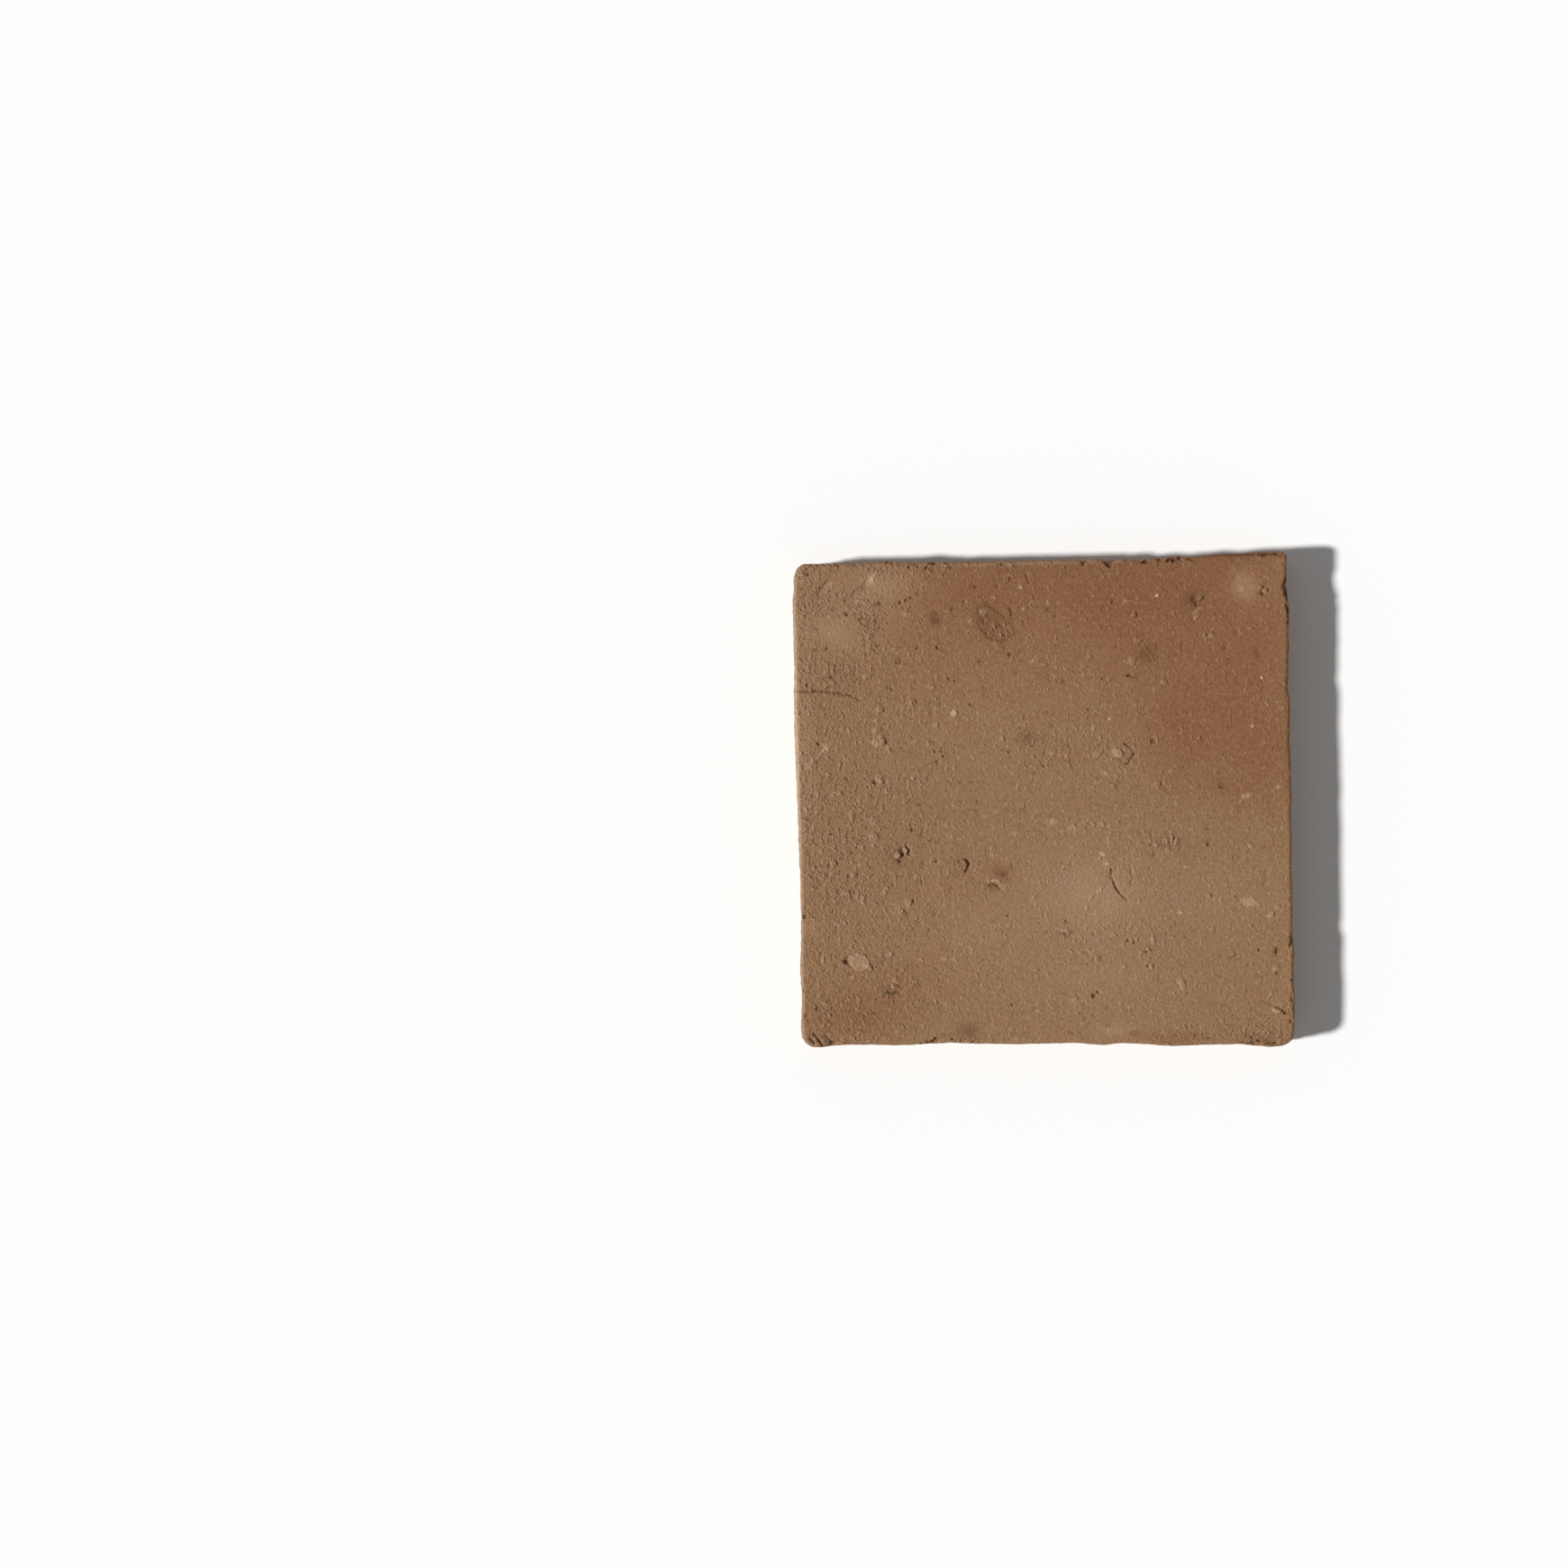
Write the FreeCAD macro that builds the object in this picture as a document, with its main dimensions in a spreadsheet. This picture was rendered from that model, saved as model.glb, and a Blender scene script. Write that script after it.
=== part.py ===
# Hand-moulded terracotta floor tile, about 200 mm square, fired as one solid.
# Millimetres. The origin is the middle of the bed face and +Z is up through the wearing face.
# Seen from above, +Y is the north edge and +X the east edge.
import FreeCAD, Part
import os

import Sketcher

NODE = "terracotta_tile"
SHEET = "Sizes"

# The block itself. A tile struck in a wooden frame is never square, so each corner is set in
# from the rectangle that just holds the face.
BLOCK_SIZES = [
    ("face_width", 200.0, "face, west to east, at its widest"),
    ("face_depth", 200.0, "face, north to south, at its deepest"),
    ("thickness", 22.0, "bed face to wearing face"),
    ("northwest_inset_x", 0.5, "north-west corner in from the west"),
    ("north_inset", 2.4, "straight north edge in from the north"),
    ("northeast_inset_x", 0.4, "north-east corner in from the east"),
    ("southwest_inset_x", 1.2, "south-west corner in from the west"),
    ("southwest_inset_y", 2.9, "south-west corner in from the south"),
    ("west_turn_inset", 0.85, "where the west edge turns from swell to hollow, in from the west"),
    ("south_hollow", 2.7, "middle of the south edge in from the south"),
    ("ear_length", 52.0, "drawn-out ear of the north edge, measured from the east"),
    ("ear_bevel_drop", 3.2, "fall of the worn bevel across the ear, down the side"),
    ("northwest_radius", 5.0, "corner radius in plan"),
    ("northeast_radius", 2.2, "corner radius in plan"),
    ("southeast_radius", 5.5, "corner radius in plan"),
    ("southwest_radius", 5.0, "corner radius in plan"),
    ("arris_radius", 1.5, "worn rounding between the wearing face and the sides"),
    ("foot_radius", 0.8, "rounding between the bed face and the sides"),
]

# Chips knocked off the arris: name, edge, the side the place is measured from, the place along
# the edge, length along the edge, bite into the face and drop down the side.
CHIPS = [
    ("north_notch", "north", "east", 71.7, 4.6, 1.9, 3.0),
    ("north_nick", "north", "east", 82.2, 2.2, 1.4, 2.0),
    ("north_hole", "north", "west", 43.2, 2.8, 1.7, 2.4),
    ("north_scuff", "north", "west", 25.0, 4.4, 1.1, 1.6),
    ("east_flake", "east", "north", 15.0, 9.5, 1.9, 5.0),
    ("east_nick", "east", "north", 24.0, 3.0, 1.3, 2.0),
    ("east_bite", "east", "south", 43.0, 4.8, 1.6, 3.4),
    ("south_bite", "south", "west", 55.0, 5.2, 1.5, 2.6),
    ("south_corner_bite", "south", "west", 14.0, 6.0, 1.7, 3.0),
    ("south_corner_flake", "south", "east", 16.0, 9.0, 1.7, 3.2),
]
CHIP_WORDS = ("place", "length", "bite", "drop")

# Sockets in the wearing face where lumps of lime or grog lie or have popped out: name, the two
# sides the middle is measured from, its distances in from them, then the length, width, depth
# and the turn of the length from east, in degrees.
SOCKETS = [
    ("oval_scar", "west", "north", 82.0, 29.2, 13.0, 10.0, 0.5, -35.0),
    ("twin_socket", "west", "south", 42.7, 79.8, 7.4, 5.0, 0.9, 25.0),
    ("ring_socket", "west", "south", 67.7, 75.2, 5.8, 5.4, 0.9, 0.0),
    ("stain_socket", "west", "south", 79.5, 66.4, 5.2, 3.8, 0.7, 10.0),
    ("lump_socket", "west", "south", 23.7, 36.7, 10.0, 6.2, 1.0, -12.0),
    ("hook_socket", "east", "north", 67.4, 81.2, 8.0, 7.0, 0.6, -50.0),
    ("curl_socket", "west", "south", 39.0, 24.5, 6.6, 4.4, 0.6, -10.0),
    ("ear_socket", "east", "north", 36.0, 19.2, 7.0, 5.6, 0.6, 30.0),
    ("corner_socket", "east", "north", 10.0, 15.6, 4.8, 4.2, 0.7, 0.0),
    ("pale_socket", "east", "south", 17.7, 58.3, 8.0, 3.8, 0.5, -12.0),
]
SOCKET_WORDS = ("in_x", "in_y", "length", "width", "depth", "turn")

# Lines that several features share, as expressions on the sheet.
WEST = f"(-{SHEET}.face_width / 2)"
EAST = f"({SHEET}.face_width / 2)"
SOUTH = f"(-{SHEET}.face_depth / 2)"
NORTH = f"({SHEET}.face_depth / 2)"
NORTH_EDGE = f"({NORTH} - {SHEET}.north_inset)"
FACE = f"{SHEET}.thickness"
FROM_SIDE = {"west": f"{WEST} + ", "east": f"{EAST} - ", "south": f"{SOUTH} + ", "north": f"{NORTH} - "}
ON_PLANE = 1e-4


def fill_sheet(doc):
    """Writes one row for each driving dimension: what it is, and its value under an alias."""
    rows = list(BLOCK_SIZES)
    for name, edge, _, *values in CHIPS:
        rows += [(f"{name}_{word}", v, f"chip on the {edge} arris") for word, v in zip(CHIP_WORDS, values)]
    for name, _, _, *values in SOCKETS:
        rows += [(f"{name}_{word}", v, "socket in the wearing face") for word, v in zip(SOCKET_WORDS, values)]
    sheet = doc.addObject("Spreadsheet::Sheet", SHEET)
    for row, (alias, value, meaning) in enumerate(rows, 1):
        sheet.set(f"A{row}", meaning)
        sheet.set(f"B{row}", str(value))
        sheet.setAlias(f"B{row}", alias)
    doc.recompute()


def origin_plane(body, role):
    """The body's own plane of that role, such as XY_Plane."""
    return next(feature for feature in body.Origin.OriginFeatures if feature.Role == role)


def new_sketch(body, name, role):
    """An empty sketch on one of the body's origin planes."""
    sketch = body.newObject("Sketcher::SketchObject", name)
    sketch.AttachmentSupport = [(origin_plane(body, role), "")]
    sketch.MapMode = "FlatFace"
    return sketch


def pin(sketch, name, geometry, end, x=None, y=None):
    """Ties one point of a sketch to the sheet by its x, its y or both, measured from the origin."""
    for kind, place in (("DistanceX", x), ("DistanceY", y)):
        if place is None:
            continue
        value = sketch.evalExpression(place)
        if value > 0:
            constraint = Sketcher.Constraint(kind, -1, 1, geometry, end, value)
        else:
            constraint = Sketcher.Constraint(kind, geometry, end, -1, 1, -value)
            place = f"-({place})"
        label = f"{name}_{kind[-1].lower()}"
        sketch.renameConstraint(sketch.addConstraint(constraint), label)
        sketch.setExpression(f"Constraints.{label}", place)


def bowed(start, end, x, y):
    """A shallow arc whose middle lies (x, y) off the middle of its chord."""
    return Part.Arc(start, (start + end) * 0.5 + FreeCAD.Vector(x, y, 0), end)


def draw_outline(body):
    """The face's outline: a straight north edge that ends in an ear, a straight east edge, a hollow
    south edge, and a west edge that swells and then turns hollow."""
    places = {
        "northwest": (f"{WEST} + {SHEET}.northwest_inset_x", NORTH_EDGE),
        "ear": (f"{EAST} - {SHEET}.ear_length", NORTH_EDGE),
        "northeast": (f"{EAST} - {SHEET}.northeast_inset_x", NORTH),
        "southeast": (EAST, SOUTH),
        "southwest": (f"{WEST} + {SHEET}.southwest_inset_x", f"{SOUTH} + {SHEET}.southwest_inset_y"),
        "west_turn": (f"{WEST} + {SHEET}.west_turn_inset", "0"),
        "south_middle": ("0", f"{SOUTH} + {SHEET}.south_hollow"),
        "west_low": (WEST, SOUTH),
        "west_high": (WEST, NORTH),
    }
    sketch = new_sketch(body, "face_outline", "XY_Plane")
    sketch.setExpression("AttachmentOffset.Base.z", FACE)
    at = {}
    for name, place in places.items():
        at[name] = FreeCAD.Vector(*[sketch.evalExpression(side) for side in place], 0)

    rise = at["northeast"].y - at["ear"].y
    north = sketch.addGeometry(Part.LineSegment(at["northwest"], at["ear"]))
    ear = sketch.addGeometry(bowed(at["ear"], at["northeast"], 0, -rise / 4))
    east = sketch.addGeometry(Part.LineSegment(at["northeast"], at["southeast"]))
    south = sketch.addGeometry(Part.Arc(at["southeast"], at["south_middle"], at["southwest"]))
    hollow = sketch.addGeometry(bowed(at["southwest"], at["west_turn"], 0.6, 0))
    swell = sketch.addGeometry(bowed(at["northwest"], at["west_turn"], -0.6, 0))
    limit = sketch.addGeometry(Part.LineSegment(at["west_low"], at["west_high"]), True)
    middle = sketch.addGeometry(Part.Point(at["south_middle"]), True)

    start, end, x_axis, y_axis = 1, 2, -1, -2
    for constraint in (
        ("Tangent", north, end, ear, start),
        ("Coincident", ear, end, east, start),
        ("Coincident", east, end, south, start),
        ("Coincident", south, end, hollow, start),
        ("Tangent", hollow, end, swell, end),
        ("Coincident", swell, start, north, start),
        ("Horizontal", north),
        ("PointOnObject", hollow, end, x_axis),
        ("PointOnObject", middle, start, y_axis),
        ("PointOnObject", middle, start, south),
        ("Vertical", limit),
        ("Tangent", swell, limit),
    ):
        sketch.addConstraint(Sketcher.Constraint(*constraint))
    pin(sketch, "northwest", north, start, *places["northwest"])
    pin(sketch, "ear", north, end, x=places["ear"][0])
    pin(sketch, "northeast", east, start, *places["northeast"])
    pin(sketch, "southeast", east, end, *places["southeast"])
    pin(sketch, "southwest", hollow, start, *places["southwest"])
    pin(sketch, "west_turn", hollow, end, x=places["west_turn"][0])
    pin(sketch, "south_middle", middle, start, y=places["south_middle"][1])
    pin(sketch, "west_low", limit, start, *places["west_low"])
    pin(sketch, "west_high", limit, end, y=places["west_high"][1])
    return sketch, at


def add_feature(body, kind, name, **settings):
    """Adds a feature to the body, with plain settings, and returns it."""
    feature = body.newObject(f"PartDesign::{kind}", name)
    for key, value in settings.items():
        setattr(feature, key, value)
    return feature


def raise_block(body, sketch):
    """The plain block, from the face's outline down to the bed."""
    block = add_feature(body, "Pad", "block", Profile=sketch, Reversed=True)
    block.setExpression("Length", FACE)
    sketch.Visibility = False
    body.Document.recompute()


def edge_names(shape, wanted):
    """Names of the edges whose end points all pass the test."""
    return [f"Edge{n}" for n, edge in enumerate(shape.Edges, 1) if wanted([v.Point for v in edge.Vertexes])]


def round_edges(body, name, size, wanted):
    """A fillet of a named size along every edge of the tip that passes the test."""
    base = body.Tip
    fillet = add_feature(body, "Fillet", name, Base=(base, edge_names(base.Shape, wanted)))
    fillet.setExpression("Radius", f"{SHEET}.{size}")
    body.Document.recompute()


def round_block(body, at):
    """Rounds the four upright corners, each by its own radius, then the arris and the foot."""
    for corner in ("northwest", "northeast", "southeast", "southwest"):
        foot = at[corner]

        def upright(points):
            tall = abs(points[0].z - points[-1].z) > 1
            return tall and all(abs(p.x - foot.x) < 1.5 and abs(p.y - foot.y) < 1.5 for p in points)

        round_edges(body, f"{corner}_corner", f"{corner}_radius", upright)
    top = body.evalExpression(FACE)
    round_edges(body, "arris", "arris_radius", lambda points: all(abs(p.z - top) < ON_PLANE for p in points))
    round_edges(body, "foot", "foot_radius", lambda points: all(abs(p.z) < ON_PLANE for p in points))


def bevel_ear(body):
    """Planes the worn bevel across the ear, hinged on the line of the straight north edge."""
    sketch = new_sketch(body, "ear_bevel_profile", "YZ_Plane")
    inner = (f"{NORTH_EDGE} - {SHEET}.north_inset / 2", f"{FACE} + {SHEET}.ear_bevel_drop / 2")
    outer = (f"{NORTH} + {SHEET}.north_inset / 2", f"{FACE} - {SHEET}.ear_bevel_drop * 1.5")
    corners = [inner, outer, (outer[0], inner[1])]
    points = [FreeCAD.Vector(*[sketch.evalExpression(side) for side in corner], 0) for corner in corners]
    for n in range(3):
        sketch.addGeometry(Part.LineSegment(points[n], points[(n + 1) % 3]))
    for n, (name, corner) in enumerate(zip(("inner", "outer", "upper"), corners)):
        sketch.addConstraint(Sketcher.Constraint("Coincident", n, 2, (n + 1) % 3, 1))
        pin(sketch, name, n, 1, *corner)
    before = body.Shape.Volume
    add_feature(body, "Pocket", "ear_bevel", Profile=sketch, Type="ThroughAll", Midplane=True)
    sketch.Visibility = False
    body.Document.recompute()
    if not body.Shape.Volume < before:
        raise RuntimeError("the ear bevel takes nothing away")


def hollow_out(body, name, radii, middle, axes, turn=None):
    """Cuts an ellipsoid centred on the plane of the wearing face. The radii run along its own x, y
    and z, and axes says where its x and z point."""
    before = body.Shape.Volume
    cut = add_feature(body, "SubtractiveEllipsoid", name)
    for key, value in zip(("Radius2", "Radius3", "Radius1"), radii):
        cut.setExpression(key, value)
    for letter, value in zip("xyz", (*middle, FACE)):
        cut.setExpression(f"Placement.Base.{letter}", value)
    x_way, z_way = [FreeCAD.Vector(*way) for way in axes]
    cut.Placement.Rotation = FreeCAD.Rotation(x_way, FreeCAD.Vector(), z_way, "ZXY")
    if turn:
        cut.setExpression("Placement.Rotation.Angle", turn)
    body.Document.recompute()
    if not body.Shape.Volume < before:
        raise RuntimeError(f"{name} takes nothing away")


def south_edge(place):
    """The y of the hollow south edge at a place along it, as an expression."""
    west = f"({SHEET}.face_width / 2 - {SHEET}.southwest_inset_x)"
    lean = f"{SHEET}.southwest_inset_y * ({EAST} - {place}) / {SHEET}.face_width"
    sag = f"({SHEET}.south_hollow - {SHEET}.southwest_inset_y / 2)"
    return f"{SOUTH} + {lean} + {sag} * (1 - ({place} / {west}) ^ 2)"


def knock_chips(body):
    """Chips off the arris, each centred on the sharp line where the face and a side would meet and
    laid along it, with the ellipsoid's seam up in the air."""
    for name, edge, side, *_ in CHIPS:
        along, length, bite, drop = [f"{SHEET}.{name}_{word}" for word in CHIP_WORDS]
        place = f"({FROM_SIDE[side]}{along})"
        if edge == "east":
            lean = f"{SHEET}.northeast_inset_x * ({place} - {SOUTH}) / {SHEET}.face_depth"
            middle, way = (f"{EAST} - {lean}", place), (0, 1, 0)
        else:
            middle, way = (place, NORTH_EDGE if edge == "north" else south_edge(place)), (1, 0, 0)
        hollow_out(body, name, (drop, bite, f"{length} / 2"), middle, ((0, 0, 1), way))


def sink_sockets(body):
    """Shallow sockets in the wearing face."""
    for name, x_side, y_side, *_ in SOCKETS:
        in_x, in_y, length, width, depth, turn = [f"{SHEET}.{name}_{word}" for word in SOCKET_WORDS]
        middle = (FROM_SIDE[x_side] + in_x, FROM_SIDE[y_side] + in_y)
        hollow_out(body, name, (f"{length} / 2", f"{width} / 2", depth), middle, ((1, 0, 0), (0, 0, 1)), turn)


def main():
    doc = FreeCAD.newDocument(NODE)
    fill_sheet(doc)
    body = doc.addObject("PartDesign::Body", "tile")
    body.Label = NODE
    sketch, at = draw_outline(body)
    raise_block(body, sketch)
    round_block(body, at)
    bevel_ear(body)
    knock_chips(body)
    sink_sockets(body)

    doc.recompute()
    for item in doc.Objects:
        if "Invalid" in item.State or "Error" in item.State:
            raise RuntimeError(f"{item.Name} did not build: {item.State}")
    if body.Shape.isNull() or not body.Shape.isValid() or len(body.Shape.Solids) != 1:
        raise RuntimeError("the tile is not one sound solid")
    os.makedirs("parts", exist_ok=True)
    body.Shape.exportStep(f"parts/{NODE}.step")
    print(f"{NODE}: {body.Shape.Volume / 1000:.1f} cm3")


main()
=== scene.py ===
import math
import random

import bmesh
import bpy
import numpy as np
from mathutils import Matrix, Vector, noise
from mathutils.bvhtree import BVHTree


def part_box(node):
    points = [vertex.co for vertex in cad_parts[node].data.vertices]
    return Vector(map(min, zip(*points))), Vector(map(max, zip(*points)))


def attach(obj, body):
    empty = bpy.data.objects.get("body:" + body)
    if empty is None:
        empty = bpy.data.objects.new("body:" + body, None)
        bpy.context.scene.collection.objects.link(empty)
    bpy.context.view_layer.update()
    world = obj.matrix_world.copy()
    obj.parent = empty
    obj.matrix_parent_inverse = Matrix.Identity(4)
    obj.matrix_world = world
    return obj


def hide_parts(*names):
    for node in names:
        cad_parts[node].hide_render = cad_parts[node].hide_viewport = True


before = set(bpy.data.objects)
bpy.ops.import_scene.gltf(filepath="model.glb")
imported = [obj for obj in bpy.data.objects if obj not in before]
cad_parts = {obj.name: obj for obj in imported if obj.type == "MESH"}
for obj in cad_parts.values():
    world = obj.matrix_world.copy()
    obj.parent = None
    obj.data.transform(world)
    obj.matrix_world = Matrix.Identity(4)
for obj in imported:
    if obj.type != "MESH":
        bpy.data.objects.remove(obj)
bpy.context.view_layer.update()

bl_info = {
    "name": "Terracotta floor tile",
    "version": (1, 0, 0),
    "blender": (4, 5, 0),
    "location": "View3D > Sidebar > Tile",
    "description": "A hand-moulded terracotta floor tile with its fired, worn and pitted face",
    "category": "Object",
}

NODE = "terracotta_tile"
BODY = "root"
MM = 0.001

# The tile, in millimetres.
FACE_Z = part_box(NODE)[1].z / MM  # its face over the floor
HALF_FACE = 100.0  # half the nominal width of its face
FLAT_REACH = 97  # from the middle to where the face stops being flat
RIM_REACH = 98  # from the middle to where the rim begins
SOCKET_DEPTH = 1.5  # deepest socket that a grain fills

# Where the tile lies in the frame of the picture.
IMAGE_PIXELS = 1740
FACE_PIXELS = 550
TILE_PIXEL = (1158, 890)
TILE_SLOPE = 0.0148
MM_PER_PIXEL = 2 * HALF_FACE / FACE_PIXELS

# The mesh: rows of the face in from the outline, then rings of the sides over the floor, in millimetres.
ARRIS_ROWS = [0.04, 0.16, 0.38, 0.7, 1.1, 1.6, 2.3, 3.1]
SIDE_RINGS = [20.2, 18.8, 17.2, 15.6, 14.0, 12.4, 10.8, 9.2, 7.6, 6.0, 4.5, 3.1, 1.9, 1.0, 0.45, 0.15]
RELIEF_FLOOR = 20.4  # lowest the face's relief goes, in millimetres, just over the first ring
BED_GAP = 2.2  # from the bed's grid to the outline, in millimetres
BED_CELLS = 48  # cells of the bed's grid each way
LIP_PASSES = 6  # rounds of smoothing in the chips
BESIDE = 0.3  # where a level line that looks for the CAD skin starts, in metres from the middle
CLEAR = 0.1  # where an upright one starts, in metres over or under the floor
PAPER_REACH = 6  # half the width of the paper floor, in metres

# Small marks strewn at random.
SEED = 41
SCATTERED_PITS = 60
SCATTERED_GRAINS = 70
SCATTERED_SLITS = 50
SCATTER_FADE = 250  # from the west side to where the chance of one would fall to nought, in millimetres
# Their sizes: least and most, in millimetres, or as a share of the radius or the length.
PIT_RADII = (0.4, 0.85)
PIT_DEPTHS = (0.45, 0.85)
CRUMB_RADII = (0.45, 1.0)
CRUMB_DEPTHS = (0.6, 1.1)
CRUMB_SPREAD = (0.5, 0.7)  # how far crumbled spots stray from their run in x and in y
GRAIN_LENGTHS = (0.8, 2.2)
GRAIN_WIDTHS = (0.6, 1)
GRAIN_RISES = (0.1, 0.22)
GRAIN_PALENESS = (0, 0, 0.1, 0.15, 0.3)
SLIT_TURN = (90, 35)  # middle and spread, in degrees
SLIT_REACHES = (0.6, 1.6)
SLIT_BENDS = (-0.5, 0.5)
SLIT_WIDTHS = (0.25, 0.35)
SLIT_DEPTHS = (0.2, 0.45)

# Roughness of the face, as a share of the heights in the settings.
WEST_ROUGHNESS = 1.42
EAST_ROUGHNESS = 0.9
ROUGHNESS_FADE = 140  # millimetres to the east over which it falls by one
PATCH_ROUGHNESS = 0.7  # what a rough patch of full strength adds
ROUGHNESS_LIMITS = (0.35, 2.2)

# The sides, in millimetres.
FLAT_FOOT = 0.3  # height of the foot, which stays flat
CALM_FROM = 18  # height up to which the drags are full
CALM_OVER = 6  # how far above that they would fade to nothing
LEAST_DRAG = 0.4  # share of the drags that always stays
SIDE_SINK = 0.05  # how far the drags lie under the CAD skin
PALE_RUN_DEPTH = 4  # how far bloom, worn ground and the painted highlight of the west arris run down from the face
SWELL_REACH = 7  # how far a swell of a side reaches into the face
CHIP_WIDTH = 3  # a swell with a smaller reach is a chip

# Noises of the shape, in waves to the millimetre.
RIM_NOISE = 0.8  # ragged rims of grains, pits and cracks
COARSE_NOISE = 0.25  # coarse grain of the face
SWELL_NOISE = 0.022  # slow swell of the face
SWELL_START = (3, 7, 1)  # where in its noise the swell starts
DRAG_NOISE = (0.2, 0.2, 0.4)  # drags of the sides, in x, y and z
# Layers of the coarse grain and of the drags: how fast they weaken, how much finer each is, how many.
COARSE_LAYERS = (0.6, 2.0, 2)
DRAG_LAYERS = (0.5, 2.0, 4)

# Noises of the clay: size in millimetres and layers of detail. The clay's finest grit is smaller than a
# pixel of the picture, so the grain is drawn at 1.1 mm, as coarse as it needs to be to show.
CLAY_NOISES = {
    "cloud": (32, 2),
    "drift": (11, 2),
    "mottle": (8, 4),
    "grain": (1.1, 2),
    "crumbs": (2.2, 2),
    "dents": (2.0, 2),
}
PORE_CELL = 2.6  # width of the cells that hold the pores, in millimetres
PORE_BEND = 1.6  # size of the noise that bends them out of round, in millimetres
PORE_BEND_REACH = 1.4  # how far it bends them, in millimetres
RUBBED_AND_HIGHLIGHT_SHARE = 0.18  # how much of the rubbed colour, partly wear and partly painted highlight, the crumbs take
SOIL_AND_SHADE_PARTS = {"pores": 0.25, "sunk": 0.12}  # soil and painted shade that pores and dents add to the dark tones
SOIL_AND_SHADE_SHARE = 0.7  # how much of the umber of soil and painted shade the darkest spots take
RELIEF_PARTS = {"grain": 0.48, "raised": 0.46, "sunk": -0.38, "pores": -0.4}  # shares of the grit's height

# Everything in the lists below is placed in millimetres on the wearing face: x to the east, y to the
# north, from the middle of the tile. Turns are in degrees from east, anticlockwise.

# Pits that air or a lost grain left: x, y, radius, depth.
PITS = [
    (-41.9, 62.8, 0.8, 0.7), (-50.0, 62.9, 0.7, 0.4), (-84.9, 51.5, 0.7, 0.6), (-94.9, 48.6, 0.9, 0.7),
    (-37.6, 50.4, 0.6, 0.4), (-35.1, 49.4, 0.6, 0.4), (-60.6, 46.5, 0.7, 0.4), (-29.0, 39.7, 0.6, 0.4),
    (-62.9, 25.1, 0.7, 0.6), (-90.4, 24.7, 0.7, 0.6), (-43.6, 21.1, 0.6, 0.4), (-40.8, 21.1, 0.6, 0.4),
    (-40.0, 19.1, 0.6, 0.4), (-67.9, 9.0, 0.9, 0.7), (-70.8, 7.2, 0.7, 0.5), (-65.0, 81.1, 1.0, 0.4),
    (-54.2, 82.2, 0.8, 0.5), (-52.4, 83.2, 0.8, 0.5), (-57.0, 57.0, 0.6, 0.4), (-58.4, 56.9, 0.6, 0.4),
    (-86.0, -11.8, 0.7, 0.4), (-58.2, -23.2, 0.8, 0.8), (-86.9, -24.3, 0.8, 0.5),
    (-79.0, -28.8, 0.8, 0.5), (-53.1, -10.5, 0.6, 0.4), (-80.6, -63.2, 1.1, 0.9),
    (-69.7, -65.8, 0.6, 0.3), (-92.9, -82.0, 0.6, 0.4), (-14.0, -81.4, 0.6, 0.5),
    (-15.0, -45.7, 0.5, 0.4), (-86.9, -95.2, 1.0, 0.8), (28.9, 80.1, 0.6, 0.5), (18.7, 37.2, 0.6, 0.4),
    (71.4, 5.1, 0.55, 0.5), (43.2, -17.9, 0.7, 0.6), (66.4, -18.2, 0.7, 0.6), (41.1, -66.8, 0.8, 0.35),
    (19.2, -78.6, 1.1, 0.7), (20.8, -77.0, 0.7, 0.6), (33.2, -56.4, 0.7, 0.5), (36.0, -57.3, 0.6, 0.4),
    (40.7, -60.9, 0.7, 0.4), (86.0, -61.0, 0.7, 0.5), (96.1, -86.4, 0.9, 0.8), (35.2, 50.5, 0.8, 0.6),
    (24.6, 49.4, 0.6, 0.4), (-45.8, 95.4, 0.9, 0.7), (-49.2, 95.8, 0.7, 0.5), (-52.9, 95.9, 0.7, 0.5),
    (-94.0, 93.2, 0.8, 0.4), (-36.0, 95.5, 0.6, 0.4), (82.5, -96.2, 0.6, 0.4), (85.6, -97.4, 0.8, 0.5),
    (88.7, -96.6, 0.6, 0.4), (80.2, -95.4, 0.6, 0.3), (-44.8, -95.0, 1.0, 0.7),
    (-38.0, -95.4, 0.7, 0.5), (-34.6, -95.6, 0.6, 0.4), (93.0, -70.2, 0.6, 0.4), (99.0, 76.0, 0.8, 0.7),
    (-14.8, 67.4, 0.55, 0.5), (-12.9, 78.4, 0.6, 0.5), (44.4, 24.0, 1.3, 0.3), (89.6, 83.0, 0.6, 0.5),
    (-12.2, 77.4, 0.6, 0.5), (-11.6, 76.0, 0.6, 0.4), (-12.2, 90.4, 0.7, 0.5), (-15.2, 96.0, 0.7, 0.5),
    (-43.6, -23.4, 0.6, 0.5), (-18.3, -34.6, 0.6, 0.4), (-31.0, 81.4, 0.6, 0.4),
    (-13.0, 59.9, 0.7, 0.5), (-78.0, 76.7, 0.7, 0.6), (-72.8, 74.6, 0.6, 0.5), (-70.7, 72.0, 0.6, 0.5),
    (-66.3, 73.7, 0.6, 0.5), (-65.3, 71.1, 0.6, 0.4), (-56.8, 81.3, 0.6, 0.4), (-33.4, 8.4, 0.55, 0.4),
    (-26.8, 0.4, 0.5, 0.3), (11.0, 15.8, 0.5, 0.4), (-13.6, 20.4, 0.5, 0.35),
]

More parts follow.
